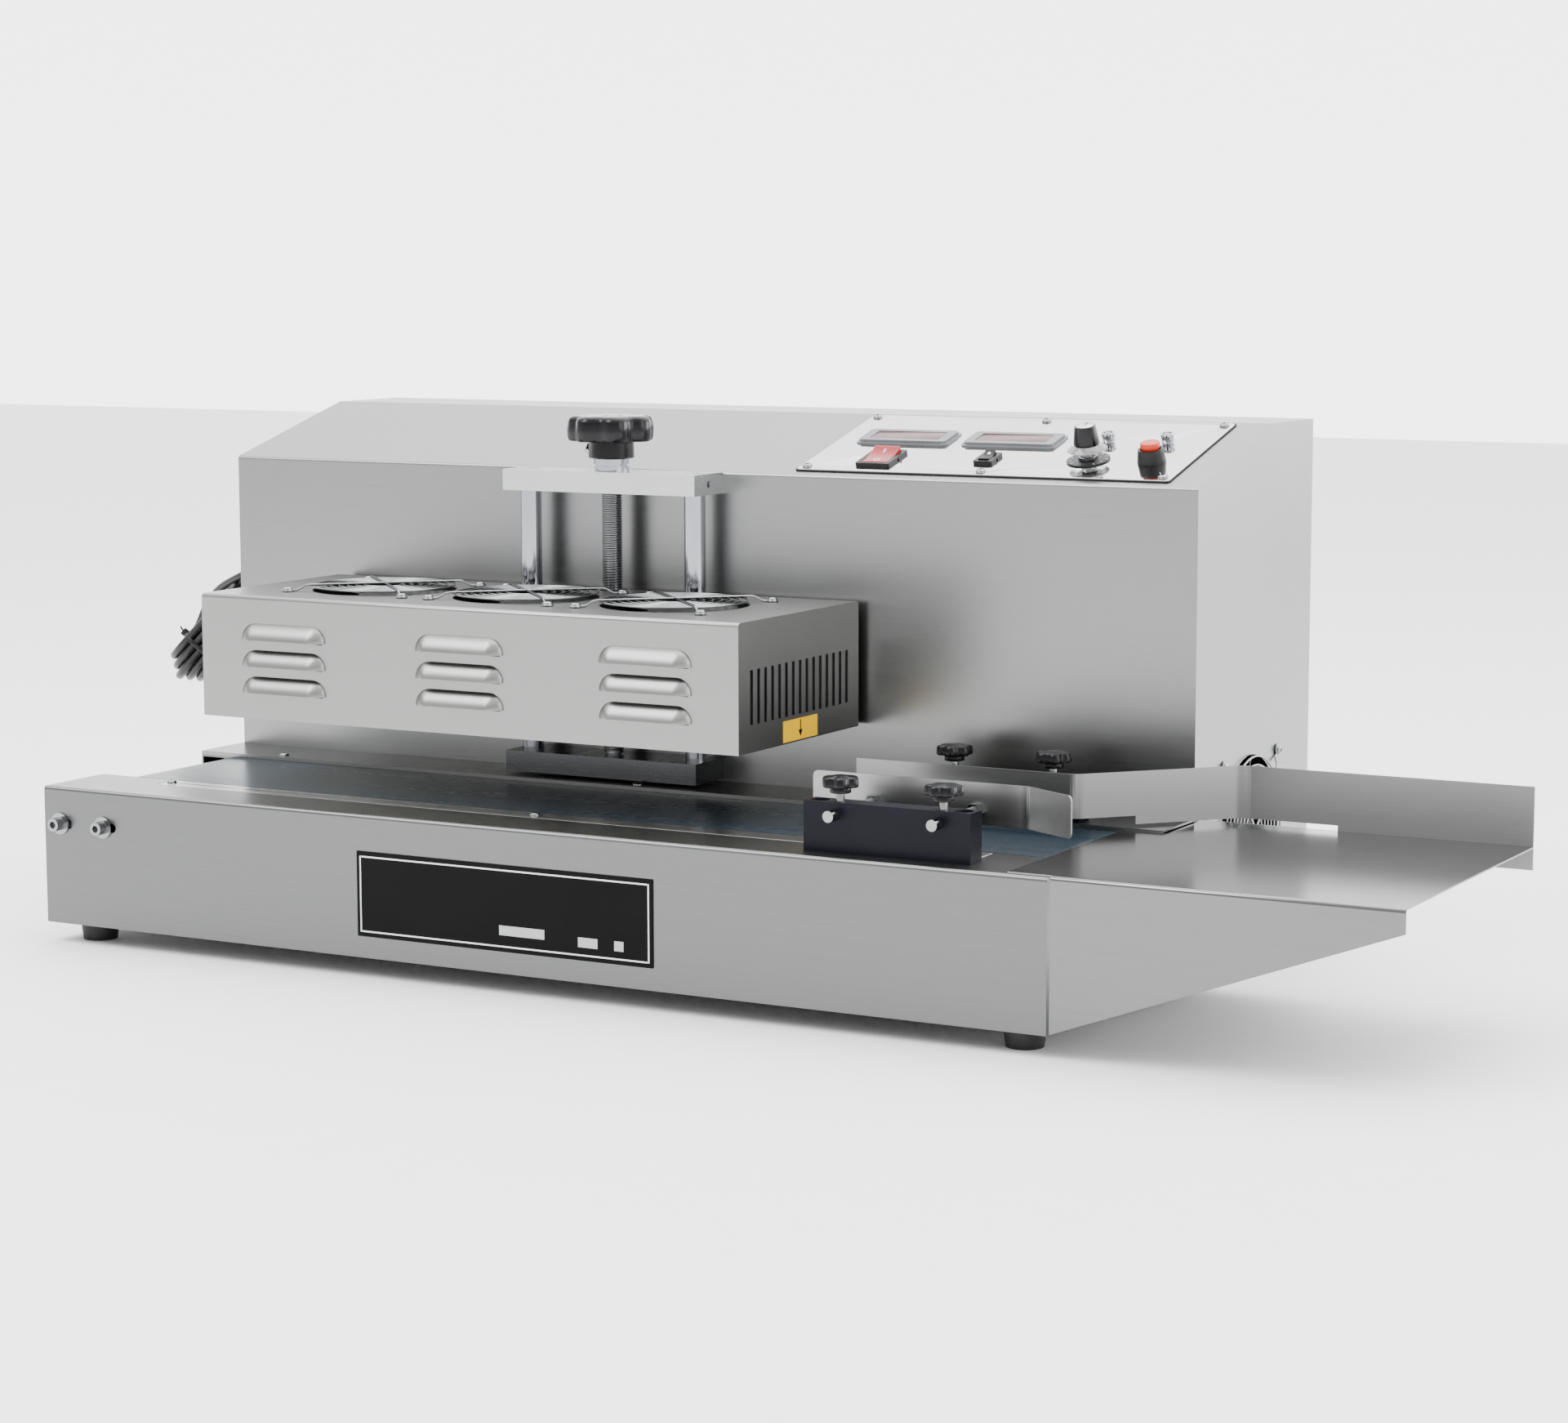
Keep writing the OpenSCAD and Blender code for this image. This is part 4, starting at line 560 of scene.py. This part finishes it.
def wire(points, thickness, closed=False):
    """A bent wire through points in mm, as a mesh."""
    select_only(poly_curve("wire", [Vector(p) / 1000 for p in points], thickness, 3, closed))
    bpy.ops.object.convert(target="MESH")
    return bpy.context.object


def ring(radius, thickness, height):
    bpy.ops.object.select_all(action="DESELECT")
    bpy.ops.mesh.primitive_torus_add(major_radius=radius / 1000, minor_radius=thickness / 2000,
                                     major_segments=72, minor_segments=10, location=(0, 0, height / 1000))
    obj = bpy.context.object
    bpy.ops.object.transform_apply(location=True)
    return obj


def cut(obj, cutter):
    """Takes the cutter's shape out of a piece."""
    apply(obj, "BOOLEAN", object=cutter, operation="DIFFERENCE", solver="EXACT")
    bpy.data.objects.remove(cutter)
    return obj


# Pieces that repeat

def pan_screw():
    """Round head with a cross recess, seat at z = 0."""
    head = turned([(3.75, 0), (3.75, 0.5), (3.5, 1.2), (2.8, 1.8), (1.6, 2.15), (0.5, 2.2)], 28)
    for width, depth in ((0.9, 3.8), (3.8, 0.9)):
        cut(head, settle(slab(width, depth, 3), Matrix.Translation((0, 0, 0.0011))))
    return coated(head, "plated")


def socket_screw(radius, height, key):
    """Cap screw with a six-sided socket, seat at z = 0."""
    head = turned([(radius * 0.94, 0), (radius, 0.3), (radius, height - 0.7), (radius - 0.7, height)], 40)
    bpy.ops.object.select_all(action="DESELECT")
    bpy.ops.mesh.primitive_cylinder_add(vertices=6, radius=key / 1000, depth=height / 1000,
                                        location=(0, 0, height / 1000))
    return coated(cut(head, bpy.context.object), "plated")


def fan_corners():
    half = FAN_HOLES / 2000
    return [Matrix.Translation((x * half, y * half, 0)) for x in (-1, 1) for y in (-1, 1)]


def fan_guard():
    """Welded wire guard: rings on two crossed wires that step down to four eyes."""
    corner = FAN_HOLES / math.sqrt(2)
    parts = [ring(r, 1.5, 3.3) for r in (54, 47.5, 41, 34.5, 28, 21.5, 15)]
    rise = [(3.6, 1), (7, 1.1), (10, 2.4), (13, 4.3), (16, 4.9)]
    shape = [(s - corner, z) for s, z in rise] + [(corner - s, z) for s, z in reversed(rise)]
    for turn in (45, 135):
        a = math.radians(turn)
        parts.append(wire([(s * math.cos(a), s * math.sin(a), z) for s, z in shape], 1.8))
    parts += [settle(ring(3.6, 1.8, 0.95), corner_place) for corner_place in fan_corners()]
    return coated(joined(parts), "plated")


def clamp_knob():
    """Six-lobed grip with a domed top on a bright stud; z = 0 at the grip's underside."""
    stud = coated(turned([(2.7, -9.5), (3, -9.2), (3, 0.5), (2.8, 1)], 24), "plated")
    hub = coated(turned([(6.6, 0), (7.3, 0.4), (7.3, 4.8), (7, 5.2)], 36), "phenolic")
    rings = [(0.93, 4.2), (1, 5), (1, 9.6), (0.93, 10.8), (0.8, 11.2), (0.62, 11.3), (0.42, 11.9), (0.2, 12)]
    grip = coated(star(13.2, 6, 0.2, rings), "phenolic")
    return joined([grip, hub, stud])


# Cord pieces

def add_cord_pieces():
    rings = [(10, 0), (10, 7), (9.2, 8), (7.8, 8.2), (7.6, 12), (7.0, 12.2), (7.0, 14), (7.3, 14.2),
             (7.1, 18), (6.4, 18.2), (6.4, 20), (6.7, 20.2), (6.3, 25), (5.6, 25.2), (5.6, 27), (5.8, 27.2),
             (5, 31.4), (4.2, 32)]
    gland = coated(turned(rings, 40), "rubber")
    settle(gland, facing(0, *CORD_ROUTE[0][1:], "Y", -math.pi / 2))
    finished(gland, "cord_strain_relief", "machine", "black_rubber", "cord_gland")
    rings = [(4.2, 0), (4.6, 0.6), (4.6, 5), (5.2, 5.6), (5.2, 10), (5.9, 10.6), (6, 15), (6.8, 15.6),
             (7.4, 20), (10, 23), (13.4, 24.5), (14, 27), (13.6, 40), (14, 52), (14, 57), (13.2, 58.4),
             (12.4, 58.8)]
    body = coated(turned(rings, 40), "rubber")
    pin, half_pitch = [(2.4, 57), (2.4, 73), (2, 75), (1.2, 75.6)], 0.0095
    pins = [settle(coated(turned(pin, 20), "plated"), Matrix.Translation((0, y, 0)))
            for y in (-half_pitch, half_pitch)]
    plug = joined([body, *pins])
    settle(plug, in_hank(PLUG_X, PLUG_SIDE, 0) @ Matrix.Rotation(-math.pi / 2, 4, "Y"))
    finished(plug, "moulded_plug", "machine", "black_rubber", "power_plug")
    half_w, half_t, r = HANK_FOLD + CORD_D / 2 + 0.9, 18.4, 9
    corners = [(half_w - r, half_t - r, 0), (-half_w + r, half_t - r, 90),
               (-half_w + r, -half_t + r, 180), (half_w - r, -half_t + r, 270)]
    loop = [(0, cy + r * math.cos(math.radians(a + k * 15)), cz + r * math.sin(math.radians(a + k * 15)))
            for cy, cz, a in corners for k in range(7)]
    ties = []
    for x in (36, 74):
        band = wire(loop, 1.6, closed=True)
        for vertex in band.data.vertices:
            vertex.co.x *= 2.4
        lock = settle(slab(6, 5, 4.5, 0.8), Matrix.Translation((0, -0.012, 0.0182)))
        tail = wire([(0, -12, 22), (0.5, -12.6, 24), (1.5, -13.6, 26)], 1.4)
        tie = settle(coated(joined([band, lock, tail]), "nylon"), in_hank(x, 0, 0))
        ties.append(finished(tie, f"cable_tie_{x}", "machine", "black_rubber"))
    return [gland, plug, *ties]


# Lift and head

def add_lift():
    profile = bpy.data.meshes.new("thread")
    pitch, crest, root, turns = 2, 8, 6.9, 100
    steps = [(root, 0), (crest - 0.1, 0.75), (crest - 0.1, 1.0), (root, 1.75), (root, pitch)]
    profile.from_pydata([(r / 1000, 0, z / 1000) for r, z in steps],
                        [(i, i + 1) for i in range(len(steps) - 1)], [])
    thread = bpy.data.objects.new("thread", profile)
    bpy.context.scene.collection.objects.link(thread)
    apply(thread, "SCREW", axis="Z", angle=2 * math.pi, screw_offset=pitch / 1000, iterations=turns,
          steps=28, render_steps=28, use_merge_vertices=True, merge_threshold=WELD)
    settle(coated(thread, "plated"), upright(LIFT_X, LIFT_Y, 142.2))
    core = coated(turned([(5.6, -9.6), (6, -9.2), (6, 0.6), (6.8, 0.8), (6.8, 200), (8, 201), (8, 238)], 40),
                  "plated")
    settle(core, upright(LIFT_X, LIFT_Y, 141.4))
    finished(joined([core, thread]), "threaded_lift_screw", "lift_screw", "bright_steel", "lead_screw")

    hub_z = TOWER_EDGE_Z + 9.4
    hub = coated(turned([(16.4, 0), (17.5, 0.8), (17.3, 8), (17, 13.2)], 56), "phenolic")
    rings = [(0.9, 13), (0.96, 13.6), (0.99, 16), (1, 22), (0.985, 28), (0.95, 30.6), (0.88, 32),
             (0.78, 32.4), (0.6, 32), (0.42, 32.2), (0.2, 33)]
    grip = coated(star(33.5, 7, 0.16, rings), "phenolic")
    bolt = coated(turned([(2.9, 8), (2.9, 21.6), (2.5, 22.2), (1.4, 22.2), (1.3, 20.6)], 20), "plated")
    nut = coated(turned([(4.6, 17.6), (5, 18), (5, 20), (4.6, 20.4)], 6), "plated")
    side = Matrix.Translation((0, 0, 0.0065)) @ Matrix.Rotation(-math.pi / 2, 4, "Y")
    knob = joined([grip, hub, settle(bolt, side), settle(nut, side)])
    finished(settle(knob, upright(LIFT_X, LIFT_Y, hub_z)), "star_lift_knob", "lift_screw", "black_plastic",
             "lift_knob")


def louver_hood():
    """A skin over one louver: a hood with soft ends and a rounded top, open below."""
    bpy.ops.object.select_all(action="DESELECT")
    bpy.ops.mesh.primitive_grid_add(x_subdivisions=44, y_subdivisions=14, size=2)
    hood = bpy.context.object
    half, outline, top, round_off, inner, sunk = 26, 12.3, 8.7, 1.5, 0.4, 0.06
    for vertex in hood.data.vertices:
        along = vertex.co.x * (half + outline * math.pi / 2)
        reach = inner + (outline - inner) * math.sin((vertex.co.y + 1) * math.pi / 4)
        turn = max(abs(along) - half, 0) / outline
        x = math.copysign(min(abs(along), half) + reach * math.sin(turn), along)
        out = top * (1 - min(reach / outline, 1) ** round_off) ** (1 / round_off) - sunk
        vertex.co = Vector((x, -out, reach * math.cos(turn))) / 1000
    apply(hood, "SOLIDIFY", thickness=0.0003, offset=-1)
    return coated(hood, "head")


def add_head_trim():
    guard = fan_guard()
    guards = [settle(copy_of(guard), upright(x, FAN_Y, HEAD[1][2])) for x in FAN_X]
    screws = at_each(pan_screw(), [upright(x, FAN_Y, HEAD[1][2] + 1.6) @ c @ Matrix.Rotation(0.4 * i, 4, "Z")
                                   for x in FAN_X for i, c in enumerate(fan_corners())])
    finished(joined(guards), "head_wire_guards", "sealing_head", "bright_steel", "head_fan_guards")
    finished(joined(screws), "head_guard_screws", "sealing_head", "bright_steel", "guard_screws")

    side = settle(guard, Matrix.Translation(spot(*TOWER_FAN)) @ OUTWARD)
    finished(side, "tower_wire_guard", "machine", "bright_steel", "tower_fan_guard")

    hoods = at_each(louver_hood(), [upright(x, HEAD[0][1], z) for x in LOUVER_X for z in LOUVER_Z])
    finished(joined(hoods), "louver_hoods", "sealing_head", "sheet_steel")

    # A black sheet inside the head's end, behind its slots: painted shade that makes the slots read black
    slot_shade_sheet = settle(coated(slab(0.5, 150, 62, 0.2), "nylon"), upright(HEAD[1][0] - 2.6, 150, 186))
    finished(slot_shade_sheet, "head_slot_shade_sheet", "sealing_head", "black_plastic")

    label = coated(slab(0.2, 51, 15.4), "yellow_vinyl")
    face, middle = HEAD[1][0], 150.5
    settle(label, upright(face + 0.1, middle, 175.2))
    shaft = settle(coated(slab(0.14, 1.3, 8.6), "black_plate"), upright(face + 0.24, middle, 181))
    point = coated(turned([(3.3, 0), (3.3, 0.14)], 3), "black_plate")
    tip = settle(point, facing(face + 0.17, middle, 180.6, "Y", math.pi / 2)
                 @ Matrix.Rotation(-math.pi / 2, 4, "Z"))
    finished(joined([label, shaft, tip]), "arrow_sticker", "sealing_head", "black_plate")


# Guides

def add_guides():
    knob = clamp_knob()
    for i, (body, (node, x, y)) in enumerate(CLAMPS.items()):
        made = settle(copy_of(knob), upright(x, y, 160, 0.35 * i))
        finished(made, f"{node}_knob", body, "black_plastic", node)
    bpy.data.objects.remove(knob)
    places = [(x, y, GUIDE_TOP) for x in GUIDE_SCREWS_X for y in GUIDE_SCREWS_Y]
    heads = at_each(socket_screw(5.6, 6, 2.9), [upright(*p, 0.3 * i) for i, p in enumerate(places)])
    finished(joined(heads), "guide_block_screws", "machine", "bright_steel")


# Panel controls

def add_meter_windows():
    for i, (u, v) in enumerate(METERS_AT):
        window = coated(slab(57, 16.4, 0.8, 0.3), "meter_window")
        finished(settle(window, on_panel(u, v, 2.05)), f"meter_window_{i}", "machine", "black_plastic")


def add_start_button():
    cap = coated(turned([(6.3, 0.2), (6.9, 0.6), (7.25, 1.4), (7.25, 4), (6.9, 4.7), (6.2, 5), (4, 4.85),
                         (1, 4.8)], 48), "red_cap")
    stem = coated(turned([(5.9, -14.8), (6.25, -14.4), (6.25, 0.3), (6, 0.6)], 32), "red_cap")
    finished(settle(joined([cap, stem]), on_panel(*BUTTON_AT, 10)), "start_button_cap", "start_button",
             "red_plastic", "push_button")


def add_lamps():
    rings = [(3.6, -14), (3.8, -13.6), (3.8, -0.1), (4.4, 0), (4.5, 0.5), (4.2, 0.9), (4.5, 1.4),
             (4.9, 4.6), (5, 6.2), (4.7, 6.9), (4.2, 7), (3.3, 7), (3.1, 5.4)]
    lamps, lenses = [], []
    for u, v in LAMPS_AT:
        lamps.append(settle(coated(turned(rings, 36), "chrome"), on_panel(u, v)))
        lens = turned([(2.9, 5.5), (2.9, 6.3), (2.3, 7), (1.2, 7.3), (0.4, 7.4)], 28)
        lenses.append(settle(coated(lens, "smoke"), on_panel(u, v)))
    finished(joined(lamps), "lamp_barrels", "machine", "chrome_trim", "lamp_bezels")
    finished(joined(lenses), "lamp_lenses", "machine", "black_plastic")


def add_speed_dial():
    shaft = coated(turned([(2.8, -10), (3, -9.6), (3, 8), (3, 12)], 28), "plated")
    skirt = coated(turned([(14.4, 8.1), (14.75, 8.4), (14.3, 9.2), (10.8, 11.2), (10, 12), (9.6, 12.2)], 56),
                   "clear")
    barrel = coated(fluted_barrel(), "phenolic")
    disc = coated(turned([(6.7, 26.3), (6.7, 26.7), (6.4, 26.9), (3, 26.85)], 40), "aluminium")
    pointer = coated(slab(0.8, 5.6, 0.3, 0.1), "black_plate")
    settle(pointer, Matrix.Translation((0, 0.003, 0.0267)))
    dial = settle(joined([barrel, shaft, skirt, disc, pointer]), on_panel(*KNOB_AT))
    finished(dial, "speed_dial_knob", "dial", "black_plastic", "speed_knob")
    first, last, marks, reach = -140, 140, 11, 0.0136
    turns = [math.radians(first + (last - first) // (marks - 1) * k) for k in range(marks)]
    ticks = [settle(coated(slab(0.5, 2.4, 0.12), "white_ink"), on_panel(*KNOB_AT, 1)
                    @ Matrix.Rotation(turn, 4, "Z") @ Matrix.Translation((0, reach, 0))) for turn in turns]
    finished(joined(ticks), "dial_ticks", "machine", "black_plate")
    sleeve = coated(turned([(5.6, 3.4), (5.8, 3.6), (5.8, 7.2), (5.6, 7.4)], 36), "plated")
    nut = coated(turned([(6.8, 1.05), (7.2, 1.4), (7.2, 3.2), (6.8, 3.5)], 6), "plated")
    finished(settle(joined([nut, sleeve]), on_panel(*KNOB_AT)), "dial_nut", "machine", "bright_steel")


def add_panel_edge_shade():
    """A black bead round the panel's edge, with rounded corners: painted shade for the shadow line at the
    edge.
    """
    inset, beyond, lift = 1.6, 0.35, 0.7 - PANEL_T
    corners = ((PANEL_W, PANEL_H, 0), (0, PANEL_H, 90), (0, 0, 180), (PANEL_W, 0, 270))
    edge = []
    for u, v, first in corners:
        cu, cv = min(max(u, inset), PANEL_W - inset), min(max(v, inset), PANEL_H - inset)
        for k in range(5):
            a = math.radians(first + k * 22.5)
            edge.append((cu + (inset + beyond) * math.cos(a), cv + (inset + beyond) * math.sin(a), lift))
    edge_shade_bead = coated(wire(edge, 1.2, closed=True), "rubber")
    finished(settle(edge_shade_bead, on_panel(0, 0)), "panel_edge_shade_bead", "machine", "black_rubber")


def fluted_barrel():
    """Knob grip with shallow flutes and a broken top edge."""
    obj = turned([(9.1, 11.9), (9.5, 12.4), (9.4, 14), (7.9, 25.6), (7.6, 26.4), (6.8, 26.6)], 72)
    for vertex in obj.data.vertices:
        reach = Vector((vertex.co.x, vertex.co.y))
        if reach.length > 0.0071 and 0.0121 < vertex.co.z < 0.0258:
            flute = 1 - 0.025 * (0.5 + 0.5 * math.cos(24 * math.atan2(reach.y, reach.x)))
            vertex.co.x *= flute
            vertex.co.y *= flute
    return obj


def rocker(u, v, width, height, finish, body, node, slot):
    """Rocker with hollowed faces on its pin, tipped as the photo shows, with the usual on and off marks."""
    half, w = (height - 5) / 2 - 1, width - 6.8
    low, dish, under, block, mark_share = 2.9, 2.1, 1.5, 5, 0.55
    bpy.ops.object.select_all(action="DESELECT")
    bpy.ops.mesh.primitive_cube_add(size=0.001, location=(0, 0, 0))
    obj = bpy.context.object
    obj.scale = (w, 2 * half, block)
    bpy.ops.object.transform_apply(scale=True)
    edit(obj)
    bpy.ops.mesh.select_all(action="SELECT")
    bpy.ops.mesh.subdivide(number_cuts=11)
    leave()
    for vertex in obj.data.vertices:
        share = abs(vertex.co.y) * 1000 / half
        top = low + dish * share ** 2
        vertex.co.z = -under / 1000 + (vertex.co.z * 1000 + block / 2) / block * (top + under) / 1000
    rounded(obj, 0.5, 2, 55)
    coated(obj, finish)
    parts = [obj]
    pin = coated(turned([(1.25, -width / 2 + 2.4), (1.25, width / 2 - 2.4)], 20), "nylon")
    parts.append(settle(pin, OUTWARD))
    mark = half * mark_share
    rise = low + dish * mark_share ** 2 - 0.1
    lean = math.atan(2 * dish * mark_share / half)
    upper, lower = [Matrix.Translation((0, side * mark / 1000, rise / 1000))
                    @ Matrix.Rotation(side * lean, 4, "X") for side in (1, -1)]
    if width > 20:
        parts.append(settle(coated(slab(1, 5, 0.25), "white_ink"), upper))
        parts.append(settle(coated(ring(2.3, 0.8, 0), "white_ink"), lower))
    else:
        parts.append(settle(coated(turned([(1.3, 0), (1.3, 0.25), (1, 0.3)], 24), "white_ink"), upper))
    tipped = on_panel(u, v) @ Matrix.Rotation(math.radians(9), 4, "X")
    finished(settle(joined(parts), tipped), f"{body}_cap", body, slot, node)


# Housing details

def add_case_screws():
    inset = 6.5
    places = [on_panel(u, v) for u in (inset, PANEL_W / 2, PANEL_W - inset) for v in (inset, PANEL_H - inset)]
    places += [upright(x, DECK_SCREWS_Y, DECK_Z) for x in DECK_SCREWS_X]
    places += [upright(x, REAR_SCREWS_Y, REAR_DECK_Z) for x in DECK_SCREWS_X[:2]]
    places += [facing(x, COVER_Y, z, "X", -math.pi / 2) for x in COVER_SCREWS_X for z in COVER_SCREWS_Z]
    guard = Matrix.Translation(spot(TOWER_FAN[0] + 1.6, *TOWER_FAN[1:])) @ OUTWARD
    places += [guard @ c for c in fan_corners()]
    heads = at_each(pan_screw(), [p @ Matrix.Rotation(0.37 * i, 4, "Z") for i, p in enumerate(places)])
    finished(joined(heads), "case_screw_heads", "machine", "bright_steel", "case_screws")


def add_nameplate_print():
    """Blank plate: a white border and three pale fields, with no lettering."""
    x0, z0, w, h = NAMEPLATE
    inset, line, ink, face = 3.3, 1.1, 0.12, -1.05
    marks = [(x0 + w / 2, z0 + inset, w - 2 * inset, line),
             (x0 + w / 2, z0 + h - inset - line, w - 2 * inset, line),
             (x0 + inset, z0 + inset, line, h - 2 * inset),
             (x0 + w - inset, z0 + inset, line, h - 2 * inset)]
    border = [settle(coated(slab(mw, ink, mh), "white_ink"), upright(mx, face, mz))
              for mx, mz, mw, mh in marks]
    fields = [(142, 12, 38, 7), (197, 9.5, 16, 7), (222.5, 9.5, 7.5, 7)]
    blanks = [settle(coated(slab(fw, ink, fh), "grey_ink"), upright(x0 + fx, face, z0 + fz))
              for fx, fz, fw, fh in fields]
    finished(joined(border + blanks), "nameplate_border", "machine", "black_plate")


def add_stage():
    bpy.ops.object.select_all(action="DESELECT")
    bpy.ops.mesh.primitive_plane_add(size=14, location=(0, 0, 0))
    floor = bpy.context.object
    floor.name = "floor"
    floor.data.materials.append(grained("pale_floor", "#f4f4f4", "#f8f8f8", (0.7, 0.8), 4, 0.0))
    world = bpy.data.worlds.new("studio")
    bpy.context.scene.world = world
    world.use_nodes = True
    tree = world.node_tree
    sky = tree.nodes["Background"]
    coords = add_node(tree, "ShaderNodeTexCoord")
    height = add_node(tree, "ShaderNodeSeparateXYZ", {"Vector": (coords, "Generated")})
    backdrop = add_node(tree, "ShaderNodeMapRange", {"Value": (height, "Y")},
                        {"From Min": -0.3, "From Max": 0.5, "To Min": 1.8, "To Max": 5.2})
    tree.links.new(backdrop.outputs["Result"], sky.inputs["Strength"])
    room = add_node(tree, "ShaderNodeValToRGB", {"Fac": (height, "Z")})
    stops = room.color_ramp.elements
    stops[0].position, stops[0].color = 0.0, colour("#f2f2f2")
    stops[1].position, stops[1].color = 1.0, colour("#ffffff")
    for place, tone in ((0.16, "#ececec"), (0.34, "#a2a2a2"), (0.52, "#e4e4e4"), (0.7, "#ffffff")):
        stops.new(place).color = colour(tone)
    tree.links.new(room.outputs["Color"], sky.inputs["Color"])
    for name, place, aim, size, power in LIGHTS:
        light = bpy.data.lights.new(name, "AREA")
        light.size = size
        light.energy = power
        lamp = bpy.data.objects.new(name, light)
        lamp.location = place
        lamp.rotation_euler = (Vector(aim) - Vector(place)).to_track_quat("-Z", "Y").to_euler()
        bpy.context.scene.collection.objects.link(lamp)


add_camera()
cord, cord_length = add_cord()
cord.data.materials.append(FINISH["cord"])
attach(cord, "machine")
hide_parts("power_cord", "cord_hank")
on_cord = add_cord_pieces()
dress_frame()
add_lift()
add_head_trim()
add_guides()
add_meter_windows()
rocker(*POWER_AT, 28, 33, "red_rocker", "power_rocker", "main_rocker", "red_plastic")
rocker(*MODE_AT, 15, 21, "nylon", "mode_rocker", "small_rocker", "black_plastic")
add_start_button()
add_lamps()
add_speed_dial()
add_panel_edge_shade()
add_case_screws()
add_nameplate_print()
add_stage()
